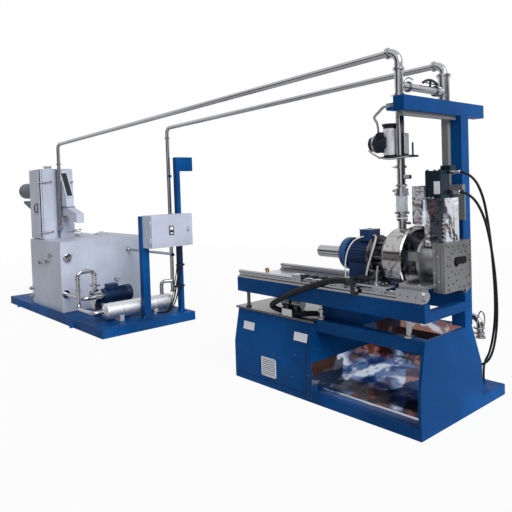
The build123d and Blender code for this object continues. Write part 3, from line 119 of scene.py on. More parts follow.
# %% A socket that can be reckoned with
class Wire:
    """One output of a node tree, used like a number."""

    def __init__(self, tree, socket=None):
        self.tree = tree
        self.socket = socket

    def node(self, kind, settings, values, output=0):
        """Adds a node: its settings first, then the value or the links of each socket."""
        added = self.tree.nodes.new(kind)
        for name, value in settings.items():
            setattr(added, name, value)
        for name, value in values.items():
            for part in value if isinstance(value, list) else [value]:
                if isinstance(part, Wire):
                    self.tree.links.new(part.socket, added.inputs[name])
                else:
                    added.inputs[name].default_value = part
        return Wire(self.tree, added.outputs[output])

    def other(self, output):
        """Another output of the same node."""
        return Wire(self.tree, self.socket.node.outputs[output])

    def math(self, operation, *terms):
        """One Math node, with its terms in order."""
        return self.node("ShaderNodeMath", {"operation": operation}, dict(enumerate(terms)))

    def __add__(self, other):
        return self.math("ADD", self, other)

    def __sub__(self, other):
        return self.math("SUBTRACT", self, other)

    def __rsub__(self, other):
        return self.math("SUBTRACT", other, self)

    def __mul__(self, other):
        return self.math("MULTIPLY", self, other)

    __radd__ = __add__
    __rmul__ = __mul__

    def at_most(self, limit):
        """The value itself, cut off at a limit."""
        return self.math("MINIMUM", self, limit)

    def above(self, level, softness):
        """0 under a level and 1 over it, with a soft step between."""
        step = {"interpolation_type": "SMOOTHSTEP"}
        values = {"Value": self, "From Min": level, "From Max": level + softness}
        return self.node("ShaderNodeMapRange", step, values)


print("node maths ready")

# %% [markdown]
# ## What every finish shares
# Paint and metal are never one even tone. Broad clouds of colour come from how light and dust lie on
# them, a fine grain from the gun or the belt, and dirt gathers near the floor. These helpers give the
# clouds, the grain and the height over the floor, all read from the object's own coordinates.


# %% Patterns read from the object
def own_place(wire):
    """Where a point lies in the object's own coordinates."""
    return wire.node("ShaderNodeTexCoord", {}, {}, "Object")


def own_coordinate(wire, axis):
    """How far along X, Y or Z a point lies."""
    return wire.node("ShaderNodeSeparateXYZ", {}, {"Vector": own_place(wire)}, axis)


def clouds(wire, scale, detail=3.0, stretch=(1, 1, 1), roughness=0.5):
    """Soft noise from 0 to 1, stretched where a grain has a direction."""
    spot = wire.node("ShaderNodeMapping", {}, {"Vector": own_place(wire), "Scale": stretch})
    values = {"Vector": spot, "Scale": scale, "Detail": detail, "Roughness": roughness}
    return wire.node("ShaderNodeTexNoise", {}, values)


def blend(wire, share, first, second):
    """A mix of two colours."""
    first, second = (value if isinstance(value, Wire) else (*value, 1) for value in (first, second))
    return wire.node("ShaderNodeMix", {"data_type": "RGBA"}, {0: share, 6: first, 7: second}, 2)


def start_finish(name):
    """An empty material's tree and shader."""
    material = bpy.data.materials.new(name)
    material.use_nodes = True
    return material, Wire(material.node_tree), material.node_tree.nodes["Principled BSDF"]


def connect(wire, shader, **inputs):
    """Links wires to a shader's sockets and sets plain numbers on them."""
    for name, value in inputs.items():
        socket = shader.inputs[name.replace("_", " ").title().replace("Ior", "IOR")]
        if isinstance(value, Wire):
            wire.tree.links.new(value.socket, socket)
        else:
            socket.default_value = value


def relief(wire, height, strength, distance):
    """Turns a height pattern into a bumped normal."""
    return wire.node("ShaderNodeBump", {}, {"Height": height, "Strength": strength, "Distance": distance})


print("patterns ready")

# %% [markdown]
# ## Sprayed paint
# The frames are mild steel in a deep blue enamel, and the tank, dryer and switch box a pale grey one.
# A spray gun leaves a fine orange peel and slow changes of tone. Dust dulls the paint near the floor,
# and small rubbed spots show lighter. The shine is kept low, so the white studio doesn't pale the blue.


# %% Paint
def sprayed_paint(name, colour, light, dust, gloss, shine, wear=0.3):
    """A coat of enamel that is light in some clouds and dusty near the floor."""
    material, wire, shader = start_finish(name)
    tone = clouds(wire, 1.6, 4.0).above(0.36, 0.3)
    near_floor = 1 - own_coordinate(wire, "Z").above(0.0, 0.45)
    grime = near_floor * clouds(wire, 5.0, 6.0).above(0.42, 0.3)
    rubbed = clouds(wire, 17.0, 8.0, (1, 1, 2.5), 0.62).above(0.665, 0.03)
    dusty = blend(wire, grime * 0.35, blend(wire, tone, colour, light), dust)
    connect(
        wire, shader,
        base_color=blend(wire, rubbed * (0.35 * wear), dusty, [0.5 + part / 2 for part in light]),
        roughness=gloss + grime * 0.25 + tone * 0.06 + rubbed * 0.15,
        normal=relief(wire, clouds(wire, 420.0, 2.0) + clouds(wire, 6.0) * 2.0, 0.12, 0.0006),
        specular_ior_level=shine,
    )
    return material


blue_enamel = sprayed_paint(
    "blue_enamel", (0.001, 0.049, 0.185), (0.003, 0.08, 0.295), (0.03, 0.06, 0.11), 0.4, 0.07
)
grey_enamel = sprayed_paint(
    "grey_enamel", (0.41, 0.45, 0.54), (0.51, 0.56, 0.68), (0.33, 0.33, 0.33), 0.42, 0.3, 0.2
)
fan_enamel = sprayed_paint(
    "fan_enamel", (0.012, 0.055, 0.17), (0.03, 0.11, 0.28), (0.05, 0.07, 0.1), 0.34, 0.3
)
navy_enamel = sprayed_paint(
    "navy_enamel", (0.003, 0.022, 0.085), (0.008, 0.045, 0.16), (0.04, 0.05, 0.08), 0.36, 0.3
)
pump_enamel = sprayed_paint(
    "pump_enamel", (0.002, 0.012, 0.045), (0.005, 0.028, 0.1), (0.03, 0.035, 0.06), 0.36, 0.3
)
print("paints", blue_enamel.name, grey_enamel.name, fan_enamel.name, navy_enamel.name, pump_enamel.name)

# %% [markdown]
# ## Bare steel
# Food-grade pipe and the cutting drum are stainless, polished until they mirror. Milled plates and
# rails keep the fine lines of the cutter, so the same recipe gets a longer, rougher grain. The grain
# is noise stretched hard along one way, and it changes tone, roughness and relief together.


# %% Steel
def bare_steel(name, dark, light, low, high, grain=(4, 4, 90), scale=9.0, depth=0.1, stain_and_reflection=0.0):
    """Stainless steel with a grain that runs across the stretched way. Its brown patches are stains on milled and
    dark steel, painted reflection on the drum, and both on the polished pipe.
    """
    material, wire, shader = start_finish(name)
    lines = clouds(wire, scale, 6.0, grain, 0.6)
    haze = clouds(wire, 3.5, 4.0)
    stain_and_reflection_patches = clouds(wire, 26.0, 5.0).above(0.56, 0.12)
    tone = blend(wire, lines * 0.6 + haze * 0.4, dark, light)
    connect(
        wire, shader,
        # brown patches: real stains, and painted reflection on the polished pipe and the drum
        base_color=blend(wire, stain_and_reflection_patches * stain_and_reflection, tone, (0.2, 0.155, 0.11)),
        metallic=1.0,
        roughness=low + (lines * 0.55 + haze * 0.45) * (high - low) + stain_and_reflection_patches * 0.05,
        normal=relief(wire, lines, depth, 0.0005),
    )
    return material


# The pipe's faint brown patches are partly stains and partly painted reflection.
polished_steel = bare_steel("polished_steel", (0.31, 0.315, 0.34), (0.52, 0.525, 0.555), 0.05, 0.18, stain_and_reflection=0.08)
milled_steel = bare_steel(
    "milled_steel", (0.36, 0.37, 0.4), (0.58, 0.59, 0.63), 0.26, 0.48, (60, 4, 4), 12.0, 0.25, 0.12
)
rolled_sheet = bare_steel("rolled_sheet", (0.42, 0.44, 0.49), (0.62, 0.645, 0.7), 0.22, 0.4, (3, 60, 60))
tool_steel = bare_steel(
    "tool_steel", (0.23, 0.235, 0.25), (0.4, 0.405, 0.425), 0.3, 0.5, (40, 40, 5), 14.0, 0.3, 0.3
)
satin_steel = bare_steel(
    "satin_steel", (0.6, 0.615, 0.65), (0.78, 0.795, 0.83), 0.42, 0.6, (60, 60, 4), 6.0, 0.1, 0.06
)
# The drum's strong dark and pale streaks and its brown patches are painted reflections, laid over its grain.
drum_steel = bare_steel(
    "drum_steel", (0.26, 0.255, 0.26), (0.6, 0.595, 0.61), 0.06, 0.24, (30, 2, 9), 5.0, 0.12, 0.75
)
dark_steel = bare_steel("dark_steel", (0.06, 0.065, 0.075), (0.2, 0.195, 0.2), 0.14, 0.38, stain_and_reflection=0.3)


def mirror_sheet(name, scale, detail, grain, deep, brown_reflection, cover, brown_reflection_from, buckle):
    """Polished sheet, buckled a little, whose base colour carries painted reflections in blue, pale and brown."""
    material, wire, shader = start_finish(name)
    streaks = clouds(wire, scale, detail, grain)
    # The base colour is painted reflection: blue and pale streaks, and brown patches above a given height.
    patches = clouds(wire, scale * 1.3, detail, (1.3, 1, 1.3)).above(cover, 0.05)
    patches = patches * own_coordinate(wire, "Z").above(brown_reflection_from, 0.05)
    blue_white_reflection = blend(wire, streaks.above(0.38, 0.07), deep, (0.86, 0.89, 0.95))
    connect(
        wire, shader,
        base_color=blend(wire, patches * brown_reflection, blue_white_reflection, (0.36, 0.13, 0.085)),
        metallic=0.85,
        roughness=0.03 + streaks * 0.05,
        normal=relief(wire, clouds(wire, scale, 2.0, (1, 1, 2)), 0.5, buckle),
    )
    return material


# The bay sheets and the yoke plates carry painted reflections in their colour.
mirrored = mirror_sheet("mirror_sheet", 2.4, 5.0, (1, 1, 3), (0.1, 0.19, 0.38), 0.9, 0.4, 0.17, 0.02)
yoke_mirror = mirror_sheet("yoke_mirror", 7.0, 2.0, (1.6, 1.6, 0.35), (0.1, 0.11, 0.14), 0.35, 0.56, 1.0, 0.008)


def fittings_finish():
    """Bright steel on the lid, and black where the clip stands at the bed's front."""
    material, wire, shader = start_finish("lid_metal")
    along = own_coordinate(wire, "X")
    band = along.above(1.875, 0.002) - along.above(1.905, 0.002)
    dark = (along.above(2.62, 0.01) + band).at_most(1.0)
    grain = clouds(wire, 30.0, 5.0)
    bright = blend(wire, grain, (0.5, 0.52, 0.56), (0.7, 0.72, 0.75))
    connect(
        wire, shader,
        base_color=blend(wire, dark, bright, (0.012, 0.013, 0.016)),
        metallic=1 - dark,
        roughness=0.2 + grain * 0.15 + dark * 0.3,
        normal=relief(wire, grain, 0.1, 0.0004),
    )
    return material


lid_metal = fittings_finish()
print("steels", polished_steel.name, milled_steel.name, rolled_sheet.name, tool_steel.name, lid_metal.name)

# %% [markdown]
# ## Castings, rubber, glass and small finishes
# The lantern and the valve parts are dark castings with a sand-like skin. Hose covers are black rubber
# with a faint cloth mark, and the sleeves are pale plastic. The sight glass is thick clear glass.


# %% Dark castings and soft covers
def dull_cover(name, dark, light, low, high, scale, depth, metal=0.0, grain=(1, 1, 1)):
    """A matt skin whose small bumps follow the same pattern as its tone."""
    material, wire, shader = start_finish(name)
    skin = clouds(wire, scale, 6.0, grain, 0.6)
    haze = clouds(wire, 4.0, 3.0)
    connect(
        wire, shader,
        base_color=blend(wire, skin * 0.5 + haze * 0.5, dark, light),
        roughness=low + skin * (high - low),
        metallic=metal,
        normal=relief(wire, skin, depth, 0.0006),
        specular_ior_level=0.2,
    )
    return material


dark_casting = dull_cover("dark_casting", (0.008, 0.01, 0.014), (0.03, 0.034, 0.042), 0.25, 0.6, 160, 0.3)
black_rubber = dull_cover("black_rubber", (0.004, 0.004, 0.005), (0.016, 0.017, 0.02), 0.35, 0.6, 300, 0.4)
grey_sleeve = dull_cover("grey_sleeve", (0.34, 0.35, 0.37), (0.5, 0.51, 0.54), 0.3, 0.5, 200, 0.3)
white_sleeve = dull_cover("white_sleeve", (0.55, 0.56, 0.6), (0.7, 0.71, 0.75), 0.35, 0.5, 120, 0.2)
tray_grey = dull_cover("tray_grey", (0.15, 0.155, 0.165), (0.24, 0.245, 0.25), 0.35, 0.5, 40, 0.1, 0.0, (9, 9, 1))
motor_grey = dull_cover("motor_grey", (0.06, 0.075, 0.1), (0.13, 0.155, 0.2), 0.35, 0.55, 120, 0.2)
cylinder_black = dull_cover("cylinder_black", (0.003, 0.011, 0.022), (0.01, 0.026, 0.044), 0.3, 0.5, 140, 0.15)
brass = dull_cover("brass", (0.36, 0.22, 0.09), (0.55, 0.37, 0.17), 0.2, 0.4, 90, 0.1, 1.0)
red_plastic = dull_cover("red_plastic", (0.45, 0.03, 0.02), (0.6, 0.06, 0.03), 0.3, 0.5, 150, 0.1)
bare_white = dull_cover("bare_white", (0.7, 0.73, 0.8), (0.84, 0.86, 0.91), 0.35, 0.55, 60, 0.1)
# Black for painted shade in holes, recesses and openings, and for dark seams and joints.
shade_and_seam_black = dull_cover("shade_and_seam_black", (0.002, 0.002, 0.002), (0.008, 0.008, 0.009), 0.7, 0.9, 90, 0.1)


def thick_glass():
    """Clear glass with a trace of water film."""
    material, wire, shader = start_finish("sight_glass")
    film = clouds(wire, 22.0, 4.0, (1, 1, 3))
    connect(
        wire, shader,
        base_color=blend(wire, film, (0.8, 0.85, 0.92), (0.97, 0.98, 1)),
        roughness=0.04 + film * 0.2,
        transmission_weight=0.75,
        ior=1.47,
    )
    return material


sight_glass = thick_glass()
print("covers and glass ready")

# %% [markdown]
# ## Which part wears which finish
# Each node of the model gets its finish here by name, so one look at the table says what every part
# of the line is made of. The second table says which of the library's slots the small pieces belong to.

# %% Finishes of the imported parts
finish_of = {
    blue_enamel: "base_cabinet base_end_plate base_sills base_top_rails rear_foot bed_frame "
    "bed_pedestal column column_arm skid_frame skid_deck posts",
    grey_enamel: "tank_shell tank_lid dryer_housing dryer_door control_box control_box_door",
    navy_enamel: "motor_body terminal_box",
    pump_enamel: "pump_motor",
    fan_enamel: "motor_fan_cover",
    polished_steel: "brake_cylinder stack_pipe bypass_valve supply_down slurry_run slurry_drop "
    "supply_riser supply_run pump_piping bed_right_jack shaft_rails",
    # These three finishes carry painted reflections in their colour.
    mirrored: "bay_tray bay_back_sheet",
    drum_steel: "cutter_drum drum_saddle",
    yoke_mirror: "valve_yoke",
    milled_steel: "bearing_blocks die_table cutter_rotor clamp_lever",
    tray_grey: "cable_trays",
    rolled_sheet: "carriage_plate bed_cover",
    satin_steel: "heat_exchanger",
    lid_metal: "lid_fittings",
    tool_steel: "die_head",
    dark_casting: "diverter_drive",
    dark_steel: "lantern bed_left_feet cabinet_lid",
    motor_grey: "dryer_motor",
    cylinder_black: "hydraulic_cylinder",
    sight_glass: "sight_glass",
    black_rubber: "upper_hose lower_hose bed_conduit",
    grey_sleeve: "drive_conduit",
    white_sleeve: "motor_cable",
}
for finish, names in finish_of.items():
    for node in names.split():
        for material_slot in nodes[node].material_slots:
            material_slot.link = "OBJECT"
            material_slot.material = finish
slot_of = {
    "machined_steel": (milled_steel, brass, dark_steel),
    "polished_steel": (polished_steel, mirrored, yoke_mirror, drum_steel, satin_steel),
    "dark_metal": (shade_and_seam_black, dark_casting, cylinder_black, red_plastic),
    "grey_paint": (bare_white, grey_enamel),
    "motor_blue": (pump_enamel,),
    "black_rubber": (black_rubber,),
    "grey_sleeve": (grey_sleeve,),
    "white_sleeve": (white_sleeve,),
}
slot_of = {finish: slot for slot, finishes in slot_of.items() for finish in finishes}
print("dressed", sum(len(names.split()) for names in finish_of.values()), "parts")

# %% [markdown]
# ## Hoses and cables
# Two oil hoses hang from the shut-off cylinder to the back of the base, a black conduit feeds the
# carriage, and thin cables reach the motor and the diverter's drive. Each is one smooth spline whose
# control points follow the real line: straight out of its fitting, then down under its own weight.


# %% Cords
def hang(made, body, slot):
    """Lets a piece ride on its body and prints its slot."""
    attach(made, body)
    print(made.name, "on", body, "as", slot)
    return made


def round_line(name, points, radius, steps, sides):
    """One open smooth spline with a round section."""
    curve = bpy.data.curves.new(name, "CURVE")
    curve.dimensions = "3D"
    curve.bevel_depth = radius
    curve.bevel_resolution = sides
    curve.resolution_u = steps
    curve.use_fill_caps = True
    spline = curve.splines.new("NURBS")
    spline.points.add(len(points) - 1)
    for knot, point in zip(spline.points, points):
        knot.co = (*point, 1)
    spline.order_u = 3
    spline.use_endpoint_u = True
    return bpy.data.objects.new(name, curve)


def flexible_line(name, node, finish, diameter, points, body="plant"):
    """A round line that takes the place of its node."""
    line = round_line(name, [on_base(*point) for point in points], diameter / 2, 8, 4)
    bpy.context.collection.objects.link(line)
    line.data.materials.append(finish)
    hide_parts(node)
    return hang(line, body, slot_of[finish])


upper_hose = flexible_line("upper_oil_hose", "upper_hose", black_rubber, 0.016, (
    (0.083, 0.3, 1.603), (0.124, 0.3, 1.603), (0.166, 0.31, 1.586), (0.199, 0.329, 1.547),
    (0.215, 0.354, 1.491), (0.219, 0.394, 1.415), (0.206, 0.456, 1.302), (0.19, 0.524, 1.154),
    (0.166, 0.598, 0.986), (0.136, 0.676, 0.81), (0.094, 0.758, 0.632), (0.036, 0.838, 0.463),
    (-0.034, 0.918, 0.32), (-0.104, 0.992, 0.24), (-0.138, 1.036, 0.158), (-0.138, 1.036, 0.09),
))
on_base(0.083, 0.3, 1.603)
lower_hose = flexible_line("lower_oil_hose", "lower_hose", black_rubber, 0.016, (
    (0.08, 0.3, 1.481), (0.122, 0.3, 1.481), (0.164, 0.311, 1.465), (0.196, 0.33, 1.427),
    (0.211, 0.358, 1.375), (0.213, 0.41, 1.305), (0.205, 0.472, 1.202), (0.193, 0.538, 1.072),
    (0.176, 0.602, 0.932), (0.153, 0.664, 0.79), (0.121, 0.732, 0.65), (0.077, 0.802, 0.5),
    (0.014, 0.876, 0.35), (-0.06, 0.946, 0.252), (-0.132, 0.994, 0.208), (-0.168, 1.012, 0.156),
    (-0.168, 1.012, 0.09),
))
on_base(0.08, 0.3, 1.481)
carriage_conduit = flexible_line("carriage_conduit", "bed_conduit", black_rubber, 0.04, (
    (-0.505, -0.036, 0.918), (-0.61, -0.036, 0.918), (-0.745, -0.037, 0.88), (-0.89, -0.039, 0.83),
    (-1.035, -0.036, 0.776), (-1.155, -0.028, 0.716), (-1.247, -0.01, 0.676), (-1.308, 0.012, 0.64),
    (-1.3, 0.072, 0.602), (-1.228, 0.086, 0.597), (-1.166, 0.076, 0.597), (-1.1, 0.076, 0.597),
    (-1.04, 0.106, 0.6), (-0.974, 0.16, 0.604), (-0.9, 0.16, 0.604),
))
motor_cable = flexible_line("motor_supply_cable", "motor_cable", white_sleeve, 0.009, (
    (-0.545, 0.193, 1.189), (-0.545, 0.146, 1.189), (-0.574, 0.104, 1.16), (-0.602, 0.08, 1.092),
    (-0.614, 0.074, 1.014), (-0.616, 0.076, 0.96), (-0.616, 0.076, 0.917),
), "carriage")
on_base(-0.545, 0.193, 1.189)
drive_conduit = flexible_line("diverter_conduit", "drive_conduit", grey_sleeve, 0.014, (
    (-0.097, -0.05, 2.01), (-0.17, -0.05, 2.01), (-0.236, 0.01, 2.006), (-0.318, 0.092, 2.0),
    (-0.4, 0.164, 1.994), (-0.446, 0.212, 1.984), (-0.452, 0.265, 1.95), (-0.452, 0.265, 1.889),
))

# %% [markdown]
# ## Making small hardware
# Handles, flanges and plates are turned, sawn or bent from stock, so they are modelled the same way:
# a block, a turned shape round an axis, or a bent rod. One small class collects such shapes in a mesh,
# and a narrow bevel at the end breaks every edge, as a file would.


# %% Hardware maker
class Hardware:
    """Collects turned and sawn shapes, measured from a corner, until they become one piece."""

    def __init__(self, corner=on_base):
        self.mesh = bmesh.new()
        self.corner = corner

    def block(self, low, high):
        """A sawn block between two corners."""
        low, high = measured(low, self.corner), measured(high, self.corner)
        for vertex in bmesh.ops.create_cube(self.mesh, size=1.0)["verts"]:
            vertex.co = low + Vector((part + 0.5) * side for part, side in zip(vertex.co, high - low))
        return self

    def slab(self, corners, depth):
        """A flat plate: its outline, pushed along a depth."""
        face = self.mesh.faces.new([self.mesh.verts.new(corner) for corner in corners])
        pushed = bmesh.ops.extrude_face_region(self.mesh, geom=[face])["geom"]
        moved = [part for part in pushed if isinstance(part, bmesh.types.BMVert)]
        bmesh.ops.translate(self.mesh, verts=moved, vec=Vector(depth))
        return self

    def turned(self, start, axis, profile, sides=32):
        """A shape turned on a lathe: distances along the axis, each with a radius."""
        start = measured(start, self.corner)
        turn = Vector(axis).normalized().to_track_quat("Z", "Y").to_matrix()
        rings = []
        for along, radius in profile:
            angles = [2 * math.pi * step / sides for step in range(sides)]
            edges = [Vector((radius * math.cos(angle), radius * math.sin(angle), along)) for angle in angles]
            rings.append([self.mesh.verts.new(start + turn @ edge) for edge in edges])
        for near, far in zip(rings, rings[1:]):
            for step in range(sides):
                after = (step + 1) % sides
                self.mesh.faces.new((near[step], near[after], far[after], far[step]))
        self.mesh.faces.new(list(reversed(rings[0])))
        self.mesh.faces.new(rings[-1])
        return self

    def stepped(self, start, axis, steps, sides=32):
        """A turned shape of plain steps: where each of them ends, and its radius."""
        profile, reached = [], 0
        for end, radius in steps:
            profile += [(reached, radius), (end, radius)]
            reached = end
        return self.turned(start, axis, profile, sides)

    def rod(self, start, end, radius, sides=20):
        """A round bar between two points."""
        start, end = measured(start, self.corner), measured(end, self.corner)
        return self.turned(start, end - start, [(0, radius), ((end - start).length, radius)], sides)

    def bent(self, points, radius):
        """A bar bent smoothly through its points."""
        holder = round_line("bar", [measured(point, self.corner) for point in points], radius, 6, 3)
        self.mesh.from_mesh(bpy.data.meshes.new_from_object(holder))
        bpy.data.objects.remove(holder)
        return self

    def piece(self, name, finish, body="plant", edge=0.0008, slot=None):
        """Closes the mesh, breaks its edges and hangs it on a body."""
        bmesh.ops.recalc_face_normals(self.mesh, faces=self.mesh.faces)
        shape = bpy.data.meshes.new(name)
        self.mesh.to_mesh(shape)
        self.mesh.free()
        shape.materials.append(finish)
        shape.shade_smooth()
        shape.set_sharp_from_angle(angle=math.radians(35))
        made = shown(name, shape)
        if edge:
            bevel = made.modifiers.new("broken edge", "BEVEL")
            bevel.width = edge
            bevel.segments = 2
            bevel.limit_method = "ANGLE"
        return hang(made, body, slot or slot_of[finish])


def sawn(name, finish, blocks, corner=on_base, **rest):
    """A piece of sawn blocks only, each between two corners."""
    maker = Hardware(corner)
    for low, high in blocks:
        maker.block(low, high)
    return maker.piece(name, finish, **rest)


print("hardware maker ready")

# %% [markdown]
# ## Screws, holes and plates as node trees
# There are hundreds of screws, and each is the same part set down again. A Geometry Nodes tree places
# one head on every point of a small mesh and turns it along the point's axis. A head is a bar with as
# many sides as the wrench needs, on a washer, with a black disc of painted shade for a recess if the wrench
# goes inside. The slats of a louvre and the fins of a motor are flat plates, which a second tree sets down
# in the same way.


# %% Fastener and plate trees
def grower(name, kinds, build):
    """A tree with named inputs. The build function turns its inputs into one shape."""
    tree = bpy.data.node_groups.new(name, "GeometryNodeTree")
    kinds = {"Geometry": "Geometry", **kinds}
    for label, kind in kinds.items():
        tree.interface.new_socket(label, in_out="INPUT", socket_type="NodeSocket" + kind)
    tree.interface.new_socket("Geometry", in_out="OUTPUT", socket_type="NodeSocketGeometry")
    source, result = tree.nodes.new("NodeGroupInput"), tree.nodes.new("NodeGroupOutput")
    given = {label: Wire(tree, source.outputs[label]) for label in kinds}
    tree.links.new(build(Wire(tree), given).socket, result.inputs["Geometry"])
    return tree


def real_copies(wire, points, shape, turn):
    """Sets the shape on every point and makes the copies real."""
    values = {"Points": points, "Instance": shape, "Rotation": turn}
    copies = wire.node("GeometryNodeInstanceOnPoints", {}, values)
    return wire.node("GeometryNodeRealizeInstances", {}, {"Geometry": copies})


def along_axes(wire, given, shape):
    """Sets the shape on the given points, each turned to its own axis."""
    axis = wire.node("GeometryNodeInputNamedAttribute", {"data_type": "FLOAT_VECTOR"}, {"Name": "axis"}, "Attribute")
    turn = wire.node("FunctionNodeAlignRotationToVector", {"axis": "Z"}, {"Vector": axis})
    return real_copies(wire, given["Geometry"], shape, turn)


def painted(wire, shape, finish):
    """The shape in one finish."""
    return wire.node("GeometryNodeSetMaterial", {}, {"Geometry": shape, "Material": finish})


def upright(wire, sides, radius, height, foot, finish):
    """One upright bar that stands on a given height."""
    bar = wire.node("GeometryNodeMeshCylinder", {}, {"Vertices": sides, "Radius": radius, "Depth": height})
    lift = wire.node("ShaderNodeCombineXYZ", {}, {"Z": wire.math("MULTIPLY_ADD", height, 0.5, foot)})
    moved = wire.node("GeometryNodeTransform", {}, {"Geometry": bar, "Translation": lift})
    return painted(wire, moved, finish)


def fastener(wire, given):
    """A washer, a head and a thin black disc of painted shade for the recess, one on the other."""
    head, washer, recess = given["Head Height"], given["Washer Height"], given["Recess Radius"]
    parts = [
        upright(wire, 16, given["Washer Radius"], washer, 0.0, given["Head Finish"]),
        upright(wire, given["Sides"], given["Head Radius"], head, washer, given["Head Finish"]),
        # the recess is a black disc of painted shade
        upright(wire, 6, recess, recess * 0.08, head + washer, given["Recess Finish"]),
    ]
    return along_axes(wire, given, wire.node("GeometryNodeJoinGeometry", {}, {"Geometry": parts}))


def plate(wire, given):
    """A flat plate, with its flat side along the point's axis."""
    sizes = {"X": given["Length"], "Y": given["Height"], "Z": given["Thickness"]}
    size = wire.node("ShaderNodeCombineXYZ", {}, sizes)
    shape = wire.node("GeometryNodeMeshCube", {}, {"Size": size})
    return along_axes(wire, given, painted(wire, shape, given["Finish"]))


lengths = ("Head Radius", "Head Height", "Washer Radius", "Washer Height", "Recess Radius")
fastener_kinds = {**dict.fromkeys(lengths, "Float"), "Sides": "Int"}
fastener_kinds |= {"Head Finish": "Material", "Recess Finish": "Material"}
fasteners = grower("fasteners", fastener_kinds, fastener)
plate_kinds = {"Length": "Float", "Height": "Float", "Thickness": "Float", "Finish": "Material"}
plate_row = grower("plates", plate_kinds, plate)
print("trees", fasteners.name, plate_row.name)

# %% [markdown]
# ## Setting the screws, holes and plates down
# A tree runs once on a mesh of bare points, and what it makes is kept as a plain piece. The points come
# in rows and circles, as they are marked out on real parts, and each carries the way its head looks.


# %% Rows and circles of screws
def grown(name, shape, tree, sizes, body, slot):
    """Runs a tree on a mesh once and keeps the result as a plain piece."""
    seed = shown(name, shape)
    grow = seed.modifiers.new("grow", "NODES")
    grow.node_group = tree
    for item in tree.interface.items_tree:
        if item.in_out == "INPUT" and item.name in sizes:
            grow[item.identifier] = sizes[item.name]
    seed.update_tag()
    ready = seed.evaluated_get(bpy.context.evaluated_depsgraph_get())
    plain = bpy.data.meshes.new_from_object(ready)
    plain.name = name
    seed.modifiers.remove(grow)
    seed.data = plain
    return hang(seed, body, slot)


def spotted(name, spots):
    """A mesh of bare points that carry their axes."""
    shape = bpy.data.meshes.new(name)
    shape.from_pydata([tuple(measured(point)) for point, axis in spots], [], [])
    shape.attributes.new("axis", "FLOAT_VECTOR", "POINT")
    for item, (point, axis) in zip(shape.attributes["axis"].data, spots):
        item.vector = axis
    return shape


def set_plates(name, spots, length, height, thickness, finish):
    """Sets one flat plate on each spot."""
    sizes = dict(zip(plate_kinds, (length, height, thickness, finish)))
    return grown(name, spotted(name, spots), plate_row, sizes, "plant", slot_of[finish])


def bolts(name, spots, head, body="plant", finish=milled_steel, slot="machined_steel", sides=6, recess=0.0,
          washer=1.35):
    """Sets one bolt on each spot: a point and the way its head looks. head is its radius."""
    # the recess disc is painted shade
    sizes = (head, head * 0.8, head * washer, head * 0.2, head * recess, sides, finish, shade_and_seam_black)
    return grown(name, spotted(name, spots), fasteners, dict(zip(fastener_kinds, sizes)), body, slot)


def holes(name, spots, radius, body="plant"):
    """Black discs 0.6 mm thick, which read as drilled holes: their black is painted shade."""
    sizes = (radius, 0.0004, radius, 0.0002, 0.001, 16, shade_and_seam_black, shade_and_seam_black)
    return grown(name, spotted(name, spots), fasteners, dict(zip(fastener_kinds, sizes)), body, "dark_metal")


def in_circle(centre, axis, radius, count, first=0.0):
    """Spots on a circle, all looking along its axis."""
    turn = Vector(axis).normalized().to_track_quat("Z", "Y").to_matrix()
    angles = [math.radians(first) + 2 * math.pi * step / count for step in range(count)]
    offsets = [Vector((radius * math.cos(angle), radius * math.sin(angle), 0)) for angle in angles]
    return [(measured(centre) + turn @ offset, axis) for offset in offsets]


def in_row(start, end, count, axis):
    """Evenly spaced spots from one point to another."""
    return [(measured(start).lerp(measured(end), step / (count - 1)), axis) for step in range(count)]


print("fasteners ready")

# %% [markdown]
# ## Ribs as a node tree
# A corrugated conduit is one ring repeated along its line. The tree spreads points along the cord's own
# curve at a pitch and sets a ring on each, turned with the curve, so the ribs follow every bend.


# %% Ribs of the conduits
def rib(wire, given):
    """Rings spread along a curve, at a pitch."""
    line = wire.node("GeometryNodeMeshToCurve", {}, {"Mesh": given["Geometry"]})
    values = {"Curve": line, "Length": given["Pitch"]}
    points = wire.node("GeometryNodeCurveToPoints", {"mode": "LENGTH"}, values, "Points")
    values = {"Resolution": 20, "Radius": given["Ring Radius"]}
    circle = wire.node("GeometryNodeCurvePrimitiveCircle", {}, values)
    values = {"Resolution": 6, "Radius": given["Rib Radius"]}
    bead = wire.node("GeometryNodeCurvePrimitiveCircle", {}, values)
    ring = wire.node("GeometryNodeCurveToMesh", {}, {"Curve": circle, "Profile Curve": bead})
    return painted(wire, real_copies(wire, points, ring, points.other("Rotation")), given["Finish"])


rib_kinds = {"Pitch": "Float", "Ring Radius": "Float", "Rib Radius": "Float", "Finish": "Material"}
ribs = grower("ribs", rib_kinds, rib)


def ribbed(name, cord, pitch, ring, bead, finish):
    """Rings along a cord's own smooth line."""
    bare = cord.data.copy()
    bare.bevel_depth = 0
    holder = bpy.data.objects.new("line", bare)
    path = bpy.data.meshes.new_from_object(holder)
    bpy.data.objects.remove(holder)
    sizes = dict(zip(rib_kinds, (pitch, ring, bead, finish)))
    return grown(name, path, ribs, sizes, "plant", slot_of[finish])


conduit_ribs = ribbed("conduit_ribs", carriage_conduit, 0.0085, 0.0185, 0.0024, black_rubber)
on_base(-0.505, -0.036, 0.918)
drive_ribs = ribbed("drive_conduit_ribs", drive_conduit, 0.0055, 0.0072, 0.0015, grey_sleeve)
on_base(-0.097, -0.05, 2.01)

# %% [markdown]
# ## The pelletizer's base
# The cabinet in the base holds the oil unit, so its front has a louvred vent, a door seam and two small
# plates, which stay bare here. The bay beside it is lined with polished sheet up to knee height, and a
# jack carries the bed behind the cabinet's edge.


# %% Base cabinet
def on_slope(left, right, low, high):
    """Four corners of a field on the cabinet's leaning front."""
    corners = ((left, low), (right, low), (right, high), (left, high))
    return [on_base(x, (z - 0.295) * 0.06 / 0.295, z) for x, z in corners]


